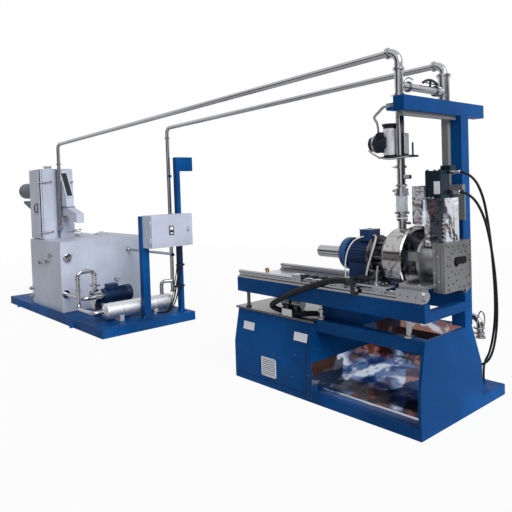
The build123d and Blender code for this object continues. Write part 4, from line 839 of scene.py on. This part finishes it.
def louvre(name, low, high, count, tilt, finish, rim=0.006):
    """A framed vent that looks to the front, with slats that shed water."""
    bars = (
        (low.x, low.z, high.x, low.z + rim),
        (low.x, high.z - rim, high.x, high.z),
        (low.x, low.z, low.x + rim, high.z),
        (high.x - rim, low.z, high.x, high.z),
    )
    blocks = [(Vector((a, low.y, b)), Vector((c, high.y, d))) for a, b, c, d in bars]
    sawn(name, finish, blocks, edge=0.0003)
    gap = (high.z - low.z - 2 * rim) / count
    middle = (low + high) / 2
    first = Vector((middle.x, middle.y - 0.001, low.z + rim + gap / 2))
    last = first + Vector((0, 0, gap * (count - 1)))
    spots = in_row(first, last, count, (0, -math.cos(tilt), math.sin(tilt)))
    set_plates(name + "_slats", spots, high.x - low.x - 2 * rim, gap * 0.62, 0.001, finish)


louvre("cabinet_vent", on_base(-1.421, -0.007, 0.085), on_base(-1.262, 0, 0.232), 9, 0.45, bare_white)
# A black plate behind the slats is painted shade: the vent's dark inside.
sawn("vent_painted_shade", shade_and_seam_black, [((-1.419, -0.001, 0.087), (-1.264, 0.0005, 0.23))], edge=0)
plates = Hardware()
for field in ((-1.662, -1.532, 0.405, 0.466), (-1.086, -0.952, 0.413, 0.474)):
    plates.slab(on_slope(*field), (0, -0.0015, 0.0003))
plates.piece("bare_plates", bare_white, edge=0.0004)
seams = Hardware()
seams.block((-0.947, -0.0006, 0.05), (-0.944, 0.001, 0.295))
seams.slab(on_slope(-0.947, -0.944, 0.295, 0.535), (0, -0.0006, 0.0001))
seams.block((-1.74, -0.0006, 0.05), (-0.944, 0.001, 0.053))
seams.piece("door_seams", shade_and_seam_black, edge=0)
walls = [((left, 0.004, 0.111), (right, 0.69, 0.285)) for left, right in ((-0.8898, -0.887), (-0.023, -0.0202))]
# The lining's blue, pale and brown colour is painted reflection.
sawn("bay_lining", mirrored, walls, edge=0.0005)
jack = Hardware()
jack.stepped((-0.858, 0.09, 0.59), UP, [(0.012, 0.026), (0.05, 0.012), (0.072, 0.022), (0.125, 0.012)])
jack.block((-0.875, 0.058, 0.713), (-0.841, 0.112, 0.727))
jack.rod((-0.885, 0.09, 0.612), (-0.831, 0.09, 0.612), 0.005)
jack.piece("front_jack", milled_steel)
brass_tap = Hardware().stepped((-1.655, 0.3, 0.828), UP, [(0.018, 0.014), (0.04, 0.01)])
brass_tap.stepped((-1.675, 0.3, 0.852), RIGHT, [(0.012, 0.013), (0.04, 0.008)])
brass_tap.piece("brass_tap", brass)

# %% [markdown]
# ## Rails, carriage and die
# Round rails stand on milled ledges, and screws hold them down every few hands. The carriage is bolted
# to four bearings. The die is a thick block of tool steel whose outer face is drilled for the extruder's
# adaptor and for heaters, so rows of holes are its mark, shown as black discs of painted shade.

# %% Screws of the bed
rail_lines = [middle + side for middle in (0.03, 0.5) for side in (-0.0145, 0.0145)]
rail_rows = [in_row((-1.66, y, 0.841), (-0.18, y, 0.841), 13, UP) for y in rail_lines]
# The holes in this cell are black discs of painted shade.
holes("rail_screw_holes", sum(rail_rows, []), 0.0042)
block_lines = [middle + along for middle in (-0.61, -0.289) for along in (-0.03, 0.03)]
plate_screws = [((x, y, 0.917), UP) for x in block_lines for y in (0.012, 0.048, 0.482, 0.518)]
bolts("carriage_screws", plate_screws, 0.0065, "carriage", sides=18, recess=0.55, washer=1.0)
holes("bearing_holes", [((x, -0.003, 0.872), FRONT) for x in block_lines], 0.004, "carriage")
table_screws = [((x, y, 0.932), UP) for x in (-0.125, -0.02) for y in (0.012, 0.045, 0.485, 0.515)]
bolts("table_screws", table_screws, 0.006, sides=18, recess=0.55, washer=1.0)
holes("end_block_holes", in_row((-0.125, -0.005, 0.866), (-0.015, -0.005, 0.866), 3, FRONT), 0.0045)

# %% [markdown]
# ## The die's face
# The die is a stack of thick plates. Thin dark lines show where the plates meet, cartridge heaters stick
# out at the front, and the melt comes in through one long opening, a black plate of painted shade. Dark
# discs of painted shade stand for the small blind holes, as nothing seats in them.

# %% Holes and joints of the die
face_spots = (
    (0.175, 1.155), (0.225, 1.152), (0.29, 1.152), (0.35, 1.15), (0.42, 1.148), (0.168, 1.096),
    (0.16, 1.045), (0.172, 0.973), (0.166, 0.928), (0.222, 0.93), (0.264, 0.944), (0.375, 0.948),
    (0.421, 1.085), (0.421, 1.05), (0.419, 1.01), (0.412, 0.96), (0.296, 0.898), (0.348, 0.898),
    (0.41, 0.905), (0.175, 0.895), (0.372, 1.112), (0.15, 1.165), (0.43, 1.168),
)
# Black discs of painted shade stand for the die's holes.
holes("die_face_holes", [((0.1, y, z), RIGHT) for y, z in face_spots], 0.0058)
rim = []
for end, first in (((0.1, 0.364, 1.038), -90), ((0.1, 0.276, 1.041), 90)):
    for step in range(13):
        angle = math.radians(first + 15 * step)
        rim.append(on_base(*end) + 0.023 * Vector((0, math.cos(angle), 1 + math.sin(angle))))
# A black plate of painted shade stands for the melt opening.
Hardware().slab(rim, (0.0004, 0, 0)).piece("melt_slot", shade_and_seam_black, edge=0)
die_joints = Hardware()
for left in (0.044, 0.071):
    die_joints.block((left, 0.1292, 0.884), (left + 0.0016, 0.131, 1.176))
    die_joints.block((left, 0.134, 1.179), (left + 0.0016, 0.441, 1.1806))
die_joints.piece("die_plate_joints", shade_and_seam_black, edge=0)
heater_ends = Hardware()
for x, z in ((0.032, 0.93), (0.032, 1.0), (0.032, 1.13), (0.058, 0.95), (0.058, 1.1)):
    heater_ends.stepped((x, 0.131, z), FRONT, [(0.005, 0.006), (0.012, 0.003)], 16)
heater_ends.piece("heater_ends", milled_steel, edge=0.0003)

# %% [markdown]
# ## The cutting unit on its carriage
# Motor, lantern and cutting drum slide together. Bolts ring the lantern's flanges, the fan cover is
# pierced for air, and a second supply tube runs down to the plate. A black bar ties the carriage to a
# small guide block on the front rail.

# %% Carriage hardware
shaft = 0.265, 1.058
bolts("lantern_bolts", in_circle((-0.33, *shaft), LEFT, 0.16, 12, 15), 0.0085, "carriage")
bolts("motor_flange_bolts", in_circle((-0.478, *shaft), LEFT, 0.128, 6, 30), 0.0075, "carriage")
bolts("drum_ring_screws", in_circle((-0.157, *shaft), RIGHT, 0.206, 16), 0.0045, "carriage", polished_steel, sides=16,
      recess=0.6, washer=1.0)
vents = [in_circle((-0.7503, *shaft), LEFT, *ring) for ring in ((0.06, 14), (0.078, 18), (0.095, 22))]
# The fan cover's air holes are black discs of painted shade.
holes("fan_cover_holes", sum(vents, []), 0.0062, "carriage")
box_spots = [((x, y, 1.235), UP) for x in (-0.584, -0.505) for y in (0.202, 0.316)]
bolts("terminal_box_screws", box_spots, 0.0045, "carriage", sides=14, recess=0.5, washer=1.1)
supply_tube = Hardware().bent((
    (-0.497, 0.235, 1.195), (-0.448, 0.205, 1.205), (-0.413, 0.15, 1.17), (-0.43, 0.112, 1.06),
    (-0.452, 0.098, 0.975), (-0.462, 0.098, 0.917),
), 0.0065)
supply_tube.stepped((-0.462, 0.098, 0.917), UP, [(0.012, 0.012), (0.02, 0.009)])
supply_tube.piece("motor_supply_tube", white_sleeve, "carriage", 0.0004)
guide = [
    ((-1.06, -0.004, 0.888), (-0.97, 0.064, 0.908)),
    ((-1.06, -0.004, 0.857), (-0.97, 0.01, 0.888)),
    ((-1.06, 0.05, 0.857), (-0.97, 0.064, 0.888)),
]
sawn("guide_block", milled_steel, guide, body="carriage", edge=0.0015)
tie = [((-0.985, 0.004, 0.898), (-0.655, 0.026, 0.912))]
tie += [((left, -0.002, 0.894), (left + 0.028, 0.032, 0.918)) for left in (-0.93, -0.85, -0.76)]
sawn("carriage_tie_bar", dark_casting, tie, body="carriage", edge=0.001)
plugs = Hardware()
plugs.stepped((-0.47, 0.02, 0.934), (1, -0.15, 0), [(0.03, 0.01), (0.06, 0.016), (0.1, 0.011)])
plugs.stepped((-0.49, 0.07, 0.934), (1, -0.1, 0), [(0.04, 0.011), (0.08, 0.016), (0.13, 0.01)])
plugs.block((-0.5, 0.005, 0.917), (-0.47, 0.085, 0.938))
plugs.bent(((-0.39, 0.01, 0.936), (-0.345, 0.005, 0.938), (-0.335, 0.04, 0.955), (-0.335, 0.09, 0.98)), 0.007)
plugs.bent(((-0.37, 0.06, 0.936), (-0.33, 0.06, 0.938), (-0.325, 0.09, 0.95), (-0.325, 0.12, 0.97)), 0.007)
plugs.piece("carriage_connectors", black_rubber, "carriage", 0.0006)

# %% [markdown]
# ## The shut-off valve and its cylinder
# A black oil cylinder moves the valve in front of the die. Its two hoses start in crimped steel sleeves,
# and its white plate is left bare. Polished yoke plates carry it, with rows of holes down their edges.

# %% Valve hardware
sawn("bare_cylinder_plate", bare_white, [((-0.012, 0.2138, 1.472), (0.029, 0.2156, 1.55))], edge=0.0004)
crimped = [
    (0, 0.0125), (0.016, 0.0125), (0.016, 0.0098), (0.022, 0.0098), (0.022, 0.0112), (0.03, 0.0112),
    (0.032, 0.0105), (0.036, 0.0112), (0.04, 0.0105), (0.044, 0.0112), (0.056, 0.0112), (0.058, 0.0092),
]
sleeves = Hardware()
for start, height in ((0.06, 1.603), (0.057, 1.481)):
    sleeves.turned((start, 0.3, height), RIGHT, crimped, 24)
sleeves.piece("hose_sleeves", polished_steel, edge=0)
yoke_rows = in_row((0.06, 0.1848, 1.215), (0.06, 0.1848, 1.33), 6, FRONT)
yoke_rows += in_row((0.0772, 0.235, 1.215), (0.0772, 0.235, 1.33), 6, RIGHT)
# The yoke's holes are black discs of painted shade.
holes("yoke_holes", yoke_rows, 0.0062)
# The panel's colour carries painted reflections.
sawn("yoke_panel", yoke_mirror, [((-0.065, 0.1862, 1.329), (0.011, 0.1892, 1.436))])
bolts("yoke_top_bolts", in_row((-0.05, 0.178, 1.447), (0.0, 0.178, 1.447), 3, UP), 0.0075)
tie_spots = [((x, y, 1.616), UP) for x in (-0.062, 0.022) for y in (0.228, 0.312)]
bolts("cylinder_tie_bolts", tie_spots, 0.008, finish=dark_casting, slot="dark_metal")

# %% [markdown]
# ## Stack, diverter and pipe clamps
# Dairy clamps join the pipes, so each joint opens with one wing nut. The diverter's drive is a satin
# steel can with a black motor behind it, and a bent handle and a wing turn the valves by hand.


# %% Stack hardware
def wing_nut(maker, middle, out, reach):
    """The screw and wing of one pipe clamp, standing off the joint."""
    out = Vector(out).normalized()
    side = out.cross(Vector(UP)).normalized()
    foot = on_base(*middle) + out * reach
    tip = Vector((0, 0, 0.01))
    maker.rod(foot - side * 0.014, foot + side * 0.02, 0.0035, 12)
    maker.rod(foot + side * 0.006 - out * 0.002, foot + side * 0.01 + out * 0.022, 0.003, 12)
    maker.rod(foot + side * 0.012 + tip, foot + side * 0.012 - tip, 0.0035, 12)


stack, second_pipe = (-0.279, 0.265), (-0.279, 0.815)
clamps = Hardware()
for pipe, height, out, reach in (
    (stack, 1.53, (1, -1, 0), 0.036), (stack, 1.652, (-1, -1, 0), 0.036), (stack, 2.12, (-1, -0.4, 0), 0.036),
    (stack, 2.289, (1, -1, 0), 0.036), (stack, 1.353, (1, -0.6, 0), 0.044), (stack, 1.472, (1, -0.6, 0), 0.044),
    (second_pipe, 2.3, (1, -1, 0), 0.034), (second_pipe, 2.345, (1, -1, 0), 0.034),
):
    wing_nut(clamps, (*pipe, height), out, reach)
clamps.bent(((-0.3, 0.345, 2.2), (-0.285, 0.345, 2.235), (-0.245, 0.345, 2.238), (-0.225, 0.345, 2.215)), 0.005)
clamps.piece("pipe_clamp_screws", polished_steel, edge=0.0003)
wing = Hardware()
wing.bent((
    (-0.262, 0.52, 2.222), (-0.262, 0.56, 2.243), (-0.262, 0.616, 2.25), (-0.262, 0.666, 2.243),
    (-0.262, 0.705, 2.225),
), 0.009)
wing.rod((-0.268, 0.616, 2.196), (-0.262, 0.616, 2.246), 0.008)
wing.piece("bypass_wing", cylinder_black, edge=0)
can = Hardware().turned(
    (-0.355, 0.265, 1.733), UP, [(0, 0.0482), (0.004, 0.0488), (0.17, 0.0488), (0.174, 0.0482)], 48
)
can.piece("diverter_can", satin_steel, edge=0)
sawn("clamp_cover", satin_steel, [((-0.2335, 0.24, 1.735), (-0.2305, 0.29, 1.866))], slot="machined_steel")
drive = Hardware()
for left, height in ((-0.505, 1.83), (-0.493, 1.795)):
    drive.stepped((left, 0.265, height), LEFT, [(0.006, 0.022), (0.012, 0.016)])
drive.bent((
    (-0.496, 0.213, 1.771), (-0.43, 0.21, 1.722), (-0.337, 0.208, 1.704), (-0.25, 0.208, 1.708),
    (-0.178, 0.212, 1.716),
), 0.006)
ring = [(0, 0.0615), (0.004, 0.0635), (0.01, 0.0635), (0.014, 0.0622)]
drive.turned((-0.471, 0.265, 1.815), RIGHT, ring, 40).piece("drive_knobs", polished_steel)
drive_box = [((-0.432, 0.205, 1.752), (-0.384, 0.325, 1.88)), ((-0.424, 0.215, 1.88), (-0.392, 0.315, 1.888))]
sawn("drive_block", cylinder_black, drive_box, edge=0.003)
bolts("drive_screws", in_circle((-0.5045, 0.265, 1.815), LEFT, 0.042, 8), 0.0045, sides=14, recess=0.5)

# %% [markdown]
# ## The skid: dryer and duct
# The dryer's door is pulled on a rubber seal by toggle clamps with red tips. A sloping duct with a
# window leads the pellets out, and a dark plate of painted shade stands for the duct's inside behind it.

# %% Dryer hardware
seal = (
    (-2.05, 0.972, -1.7232, 0.986),
    (-2.05, 1.854, -1.7232, 1.868),
    (-2.05, 0.986, -2.036, 1.854),
    (-1.7372, 0.986, -1.7232, 1.854),
)
seal = [((left, 0.1145, low), (right, 0.1188, high)) for left, low, right, high in seal]
sawn("door_seal", black_rubber, seal, on_skid, edge=0)
gasket = [((-1.7235, 0.079, 0.974), (-1.7212, 0.094, 1.866))]
sawn("door_gasket", black_rubber, gasket, on_skid, body="dryer_door", edge=0.0006)
pull = Hardware(on_skid).bent((
    (-1.8, 0.074, 1.425), (-1.8, 0.04, 1.425), (-1.8, 0.034, 1.37), (-1.8, 0.04, 1.315),
    (-1.8, 0.074, 1.315),
), 0.007)
pull.block((-1.812, 0.07, 1.305), (-1.788, 0.0745, 1.435)).piece("door_pull", black_rubber, "dryer_door", 0.001)
toggles, tips = Hardware(on_skid), Hardware(on_skid)
tip_shape = [(0, 0.007), (0.004, 0.009), (0.028, 0.009), (0.032, 0.006)]
for near, height in ((0.128, 1.703), (0.128, 1.047), (0.5, 1.045)):
    toggles.block((-1.7232, near, height - 0.018), (-1.717, near + 0.06, height + 0.018))
    toggles.block((-1.718, near + 0.01, height - 0.01), (-1.698, near + 0.035, height + 0.01))
    toggles.rod((-1.704, near - 0.075, height), (-1.704, near + 0.03, height), 0.0055)
    toggles.stepped((-1.704, near - 0.082, height), BACK, [(0.012, 0.01), (0.016, 0.007)], 16)
    toggles.rod((-1.704, near + 0.02, height + 0.004), (-1.7, near + 0.085, height + 0.01), 0.0055)
    tips.turned((-1.7, near + 0.08, height + 0.01), (0.06, 1, 0.08), tip_shape, 16)
toggles.piece("door_toggles", milled_steel, edge=0.0005)
tips.piece("toggle_tips", red_plastic, edge=0)
slope, outward = Vector((0.4936, 0, -0.8697)), Vector((0.8697, 0, 0.4936))
top_edge = on_skid(-1.723, 0, 1.86)


def on_duct(first, last, near, far):
    """Four corners on the duct's sloping front: from how far down to how far, and between two ys."""
    corners = ((first, near), (first, far), (last, far), (last, near))
    return [top_edge + slope * down + Vector((0, y, 0)) for down, y in corners]


# A dark plate behind the window is painted shade: the duct's dark inside.
window = Hardware().slab(on_duct(0.05, 0.4, 0.358, 0.432), outward * 0.003)
window.piece("duct_window", dark_casting, edge=0.0004)
joints = [((-1.7235, 0.331, low), (-1.498, 0.459, low + 0.009)) for low in (1.366, 1.246)]
sawn("duct_joints", dark_steel, joints, on_skid)
flanges = Hardware(on_skid)
for near, far in ((0.345, 0.358), (0.432, 0.445)):
    flanges.slab(on_duct(0.02, 0.42, near, far), outward * 0.014)
for first, last in ((0.02, 0.05), (0.4, 0.42)):
    flanges.slab(on_duct(first, last, 0.358, 0.432), outward * 0.01)
flanges.stepped((-1.87, 0.26, 1.88), UP, [(0.008, 0.052), (0.03, 0.04), (0.042, 0.052)])
flanges.stepped((-1.76, 0.17, 1.88), UP, [(0.02, 0.008), (0.034, 0.014)])
flanges.piece("dryer_flanges", grey_enamel)
peg = Hardware(on_skid).stepped((-1.7235, 0.505, 1.705), RIGHT, [(0.008, 0.016), (0.05, 0.007), (0.062, 0.012)])
peg.piece("dryer_peg", milled_steel)

# %% [markdown]
# ## Taps, level port and hatches of the tank
# Small taps drain the tank and sample its water, and a round port shows the level. The hatches on top
# are plain lids with a grip, so turned and sawn shapes are enough.


# %% Tank hardware
def tap(maker, at, axis, size, bar):
    """A drain tap: its flange, body and spindle, with a bar across."""
    steps = [(0.005, size), (0.022, size * 0.5), (0.045, size * 0.75), (0.058, size * 0.35)]
    maker.stepped(at, axis, steps, 24)
    end = on_skid(*at) + Vector(axis) * 0.052
    maker.rod(end - Vector(bar), end + Vector(bar), size * 0.22, 14)


taps = Hardware(on_skid)
for at, axis, size, bar in (
    ((-1.376, 0.0572, 0.786), FRONT, 0.033, (0.05, 0, 0)),
    ((-1.455, 0.0572, 0.701), FRONT, 0.033, (0.02, 0, 0.01)),
    ((-1.704, 0.0572, 0.673), FRONT, 0.033, (0.045, 0, 0)),
    ((-2.02, 0.0572, 0.3), FRONT, 0.034, (0.03, 0, 0)),
    ((-2.02, 0.0572, 0.2), FRONT, 0.024, (0.02, 0, 0)),
    ((-1.0702, 0.775, 0.425), RIGHT, 0.024, (0, 0.035, 0.01)),
):
    tap(taps, at, axis, size, bar)
port = [(0, 0.03), (0.03, 0.03), (0.03, 0.048), (0.046, 0.048), (0.048, 0.044)]
taps.turned((-1.0702, 0.135, 0.772), RIGHT, port)
taps.rod((-1.03, 0.075, 0.772), (-1.03, 0.195, 0.8), 0.007)
# The taps wear the drum's steel, with its painted reflections.
taps.piece("tank_taps", drum_steel, edge=0.0005)
hatches = Hardware(on_skid).block((-2.03, 0.62, 0.9598), (-1.86, 0.8, 0.984))
round_lid = [(0, 0.085), (0.012, 0.085), (0.016, 0.08), (0.024, 0.03), (0.034, 0.026)]
hatches.turned((-1.86, 0.98, 0.9598), UP, round_lid)
hatches.block((-1.8, 0.6, 0.9598), (-1.7, 0.72, 0.972))
hatches.piece("tank_hatches", grey_enamel, edge=0.002)
grip = ((-1.97, 0.66, 0.983), (-1.97, 0.665, 1.012), (-1.92, 0.71, 1.012), (-1.92, 0.715, 0.983))
Hardware(on_skid).bent(grip, 0.006).piece("hatch_grip", milled_steel, edge=0)

# %% [markdown]
# ## The skid: pump and exchanger
# The pump's outlet rises through a stack of rings, its motor has long cooling fins, and strap bands hold
# the heat exchanger. Its ends are domed.

# %% Pump and exchanger hardware
rings = Hardware(on_skid)
for height in (0.498, 0.522, 0.546, 0.57):
    rings.turned((-0.573, 0.25, height), UP, [(-0.005, 0.027), (-0.002, 0.042), (0.002, 0.042), (0.005, 0.027)])
rings.stepped((-0.573, 0.165, 0.662), UP, [(0.014, 0.012), (0.03, 0.022), (0.042, 0.008)])
for y in (0.355, 0.795):
    strap = [(0, 0.0886), (0.002, 0.0896), (0.024, 0.0896), (0.026, 0.0886)]
    rings.turned((-0.193, y - 0.013, 0.22), BACK, strap, 48)
rings.turned((-0.193, 0.198, 0.22), FRONT, [(0, 0.088), (0.01, 0.084), (0.03, 0.052), (0.044, 0.03)], 40)
rings.turned((-0.193, 1.009, 0.22), BACK, [(0, 0.088), (0.012, 0.084), (0.028, 0.05), (0.034, 0.02)], 40)
rings.piece("pump_rings", satin_steel, edge=0.0003)
bolts("outlet_flange_bolts", in_circle(on_skid(-0.573, 0.25, 0.475), UP, 0.05, 4, 45), 0.009)
bolts("volute_bolts", in_circle(on_skid(-0.573, 0.215, 0.325), FRONT, 0.08, 8, 22.5), 0.007)
bolts("exchanger_flange_bolts", in_circle(on_skid(-0.193, 0.242, 0.22), FRONT, 0.0895, 14), 0.0035, washer=1.0)
motor_middle = on_skid(-0.573, 0.4995, 0.325)
fin_spots = []
for degrees in range(-48, 229, 12):
    x, z = math.cos(math.radians(degrees)), math.sin(math.radians(degrees))
    fin_spots.append((motor_middle + 0.089 * Vector((x, 0, z)), (-z, 0, x)))
set_plates("pump_motor_fins", fin_spots, 0.01, 0.255, 0.0034, pump_enamel)
covers = Hardware(on_skid).block((-0.626, 0.4, 0.405), (-0.52, 0.52, 0.452))
covers.block((-0.63, 0.396, 0.446), (-0.516, 0.524, 0.458))
covers.turned((-0.573, 0.632, 0.325), BACK, [(0, 0.094), (0.008, 0.097), (0.062, 0.097), (0.07, 0.09)], 40)
covers.piece("pump_motor_covers", pump_enamel, edge=0.0005)
post_bolts = [(on_skid(x, y, 0.11), UP) for y in (0.57, 0.682, 1.067, 1.137) for x in (-0.104, -0.012)]
bolts("post_foot_bolts", post_bolts, 0.0055, washer=1.2)
# The lifting bores are black discs of painted shade.
holes("lifting_bores", [(on_skid(x, -0.0384, 0.027), FRONT) for x in (-2.39, -0.64)], 0.019)

# %% [markdown]
# ## The switch box
# The door has a small display under glass and a lock, and rubber conduits come out of the box's floor and
# run down the post behind it. The display rides with the door. The last fittings are those of the water
# outlet behind the pelletizer's base.

# %% Switch box hardware
display = [((0.1768, 0.822, 1.04), (0.184, 0.882, 1.144))]
sawn("box_display", dark_casting, display, on_skid, body="control_box_door", edge=0.0015)
screen = [((0.1838, 0.832, 1.096), (0.1848, 0.872, 1.134)), ((0.1838, 0.836, 1.05), (0.1852, 0.868, 1.07))]
sawn("display_glass", bare_white, screen, on_skid, body="control_box_door", edge=0.0003)
lock = Hardware(on_skid).turned((0.1768, 1.075, 1.088), RIGHT, [(0, 0.014), (0.006, 0.014), (0.008, 0.011)], 24)
lock.block((0.1768, 1.07, 1.05), (0.1815, 1.08, 1.125))
lock.block((0.181, 1.0715, 1.06), (0.19, 1.0785, 1.115))
lock.piece("box_lock", milled_steel, "control_box_door", 0.001)
conduit = Hardware(on_skid)
for shift, radius in ((0.0, 0.01), (0.026, 0.008), (-0.022, 0.006)):
    upper = ((0.055, 1.02, 0.903), (0.055, 1.03, 0.8), (0.03, 1.03, 0.62), (0.024, 0.99, 0.42), (0.02, 0.95, 0.26))
    lower = ((0.004, 0.9, 0.14), (-0.05, 0.84, 0.116), (-0.13, 0.8, 0.116))
    path = [(x + shift / 2, y + shift, z) for x, y, z in upper]
    conduit.bent(path + [(x + shift / 2, y + shift / 2, z) for x, y, z in lower], radius)
for low, high, left, right, near in ((0.655, 0.675, 0.02, 0.062, 0.995), (0.405, 0.425, 0.012, 0.052, 0.96)):
    conduit.block((-0.024, 1.078, low), (right, 1.09, high))
    conduit.block((left, near, low), (right, 1.09, high))
conduit.piece("post_conduit", black_rubber, edge=0)
outlet = Hardware().bent((
    (-0.052, 0.79, 0.56), (-0.03, 0.77, 0.64), (0.0, 0.77, 0.66), (0.012, 0.785, 0.6), (-0.01, 0.8, 0.54),
), 0.005)
for height in (0.49, 0.525):
    outlet.turned((-0.051, 0.815, height), UP, [(-0.006, 0.036), (-0.003, 0.04), (0.003, 0.04), (0.006, 0.036)])
wing_nut(outlet, (-0.051, 0.815, 0.49), (1, -0.6, 0), 0.042)
outlet.piece("outlet_fittings", polished_steel, edge=0.0003)

# %% [markdown]
# ## Studio floor
# The machines stand on a plain pale floor that runs into a white background. The camera sees it nearly
# white, so that little more than the soft shade under the machines is left of it.


# %% Floor
def card(name, corners, material):
    """A flat sheet of the studio, which is no part of the machine."""
    mesh = bpy.data.meshes.new(name)
    mesh.from_pydata(corners, [], [(0, 1, 2, 3)])
    mesh.materials.append(material)
    sheet = shown(name, mesh)
    return sheet


def pale_floor(reach):
    """A floor that the camera sees nearly white, and whiter far away."""
    material, wire, shader = start_finish("studio_floor")
    connect(
        wire, shader,
        base_color=blend(wire, clouds(wire, 3.0), (0.78, 0.78, 0.78), (0.82, 0.82, 0.82)),
        roughness=0.6,
        emission_color=(1, 1, 1, 1),
        specular_ior_level=0.2,
    )
    seen = wire.node("ShaderNodeLightPath", {}, {}, "Is Camera Ray")
    glow = wire.node("ShaderNodeEmission", {}, {"Color": (1, 1, 1, 1), "Strength": 1.0})
    far = wire.node("ShaderNodeVectorMath", {"operation": "LENGTH"}, {0: own_place(wire)}, "Value").above(4.5, 9.0)
    values = {0: seen * (far * 0.07 + 0.93), 1: Wire(wire.tree, shader.outputs[0]), 2: glow}
    mixed = wire.node("ShaderNodeMixShader", {}, values)
    wire.tree.links.new(mixed.socket, material.node_tree.nodes["Material Output"].inputs["Surface"])
    corners = [(-reach, -reach, 0), (reach, -reach, 0), (reach, reach, 0), (-reach, reach, 0)]
    return card("studio_floor", corners, material)


floor = pale_floor(60.0)
print("floor", floor.name)

# %% [markdown]
# ## World, lamp and dark cards
# The world is white where the camera and mirrors look, and softer where it lights the paint. One broad
# lamp from the right and above models the shapes, as the right-facing plates are the brightest ones. Two
# dark cards stand far off beside the machine, where only mirrors see them, because polished steel needs
# something dark to show its form.


# %% World, lamp and cards
def flag(name, corners, dark, pale):
    """A patchy card that only reflections see, as photographers set beside shiny metal."""
    material, wire, shader = start_finish(name)
    patches = clouds(wire, 0.55, 3.0, (1, 1, 2.2)).above(0.52, 0.06)
    connect(
        wire, shader,
        base_color=(0, 0, 0, 1),
        emission_color=blend(wire, patches, dark, pale),
        emission_strength=1.0,
        roughness=0.9,
    )
    sheet = card(name, corners, material)
    for kind in ("camera", "diffuse", "transmission", "volume_scatter", "shadow"):
        setattr(sheet, f"visible_{kind}", False)


world = bpy.data.worlds.new("studio_world")
bpy.context.scene.world = world
world.use_nodes = True
camera_ray = Wire(world.node_tree).node("ShaderNodeLightPath", {}, {}, "Is Camera Ray")
# 1 where the camera or a mirror looks, 0 where the world lights the paint
direct = (camera_ray + camera_ray.other("Is Glossy Ray") + camera_ray.other("Is Transmission Ray")).at_most(1.0)
background = world.node_tree.nodes["Background"]
background.inputs["Color"].default_value = (1, 1, 1, 1)
world.node_tree.links.new((direct * 0.76 + 0.24).socket, background.inputs["Strength"])
key = shown("key_lamp", bpy.data.lights.new("key_lamp", "SUN"))
key.data.energy = 2.9
key.data.angle = math.radians(40)
key.rotation_euler = Vector((-1.0, 0.18, -0.66)).to_track_quat("-Z", "Y").to_euler()
front = [(-9, -8, 0.05), (3.5, -8, 0.05), (3.5, -8, 5.2), (-9, -8, 5.2)]
flag("front_flag", front, (0.03, 0.022, 0.018), (0.38, 0.36, 0.37))
right = [(10, -7, 0.05), (10, 9, 0.05), (10, 9, 3.8), (10, -7, 3.8)]
flag("right_flag", right, (0.035, 0.028, 0.026), (0.34, 0.36, 0.42))
bpy.context.scene.view_settings.view_transform = "Standard"
print("lamp", key.name, "strength", key.data.energy)
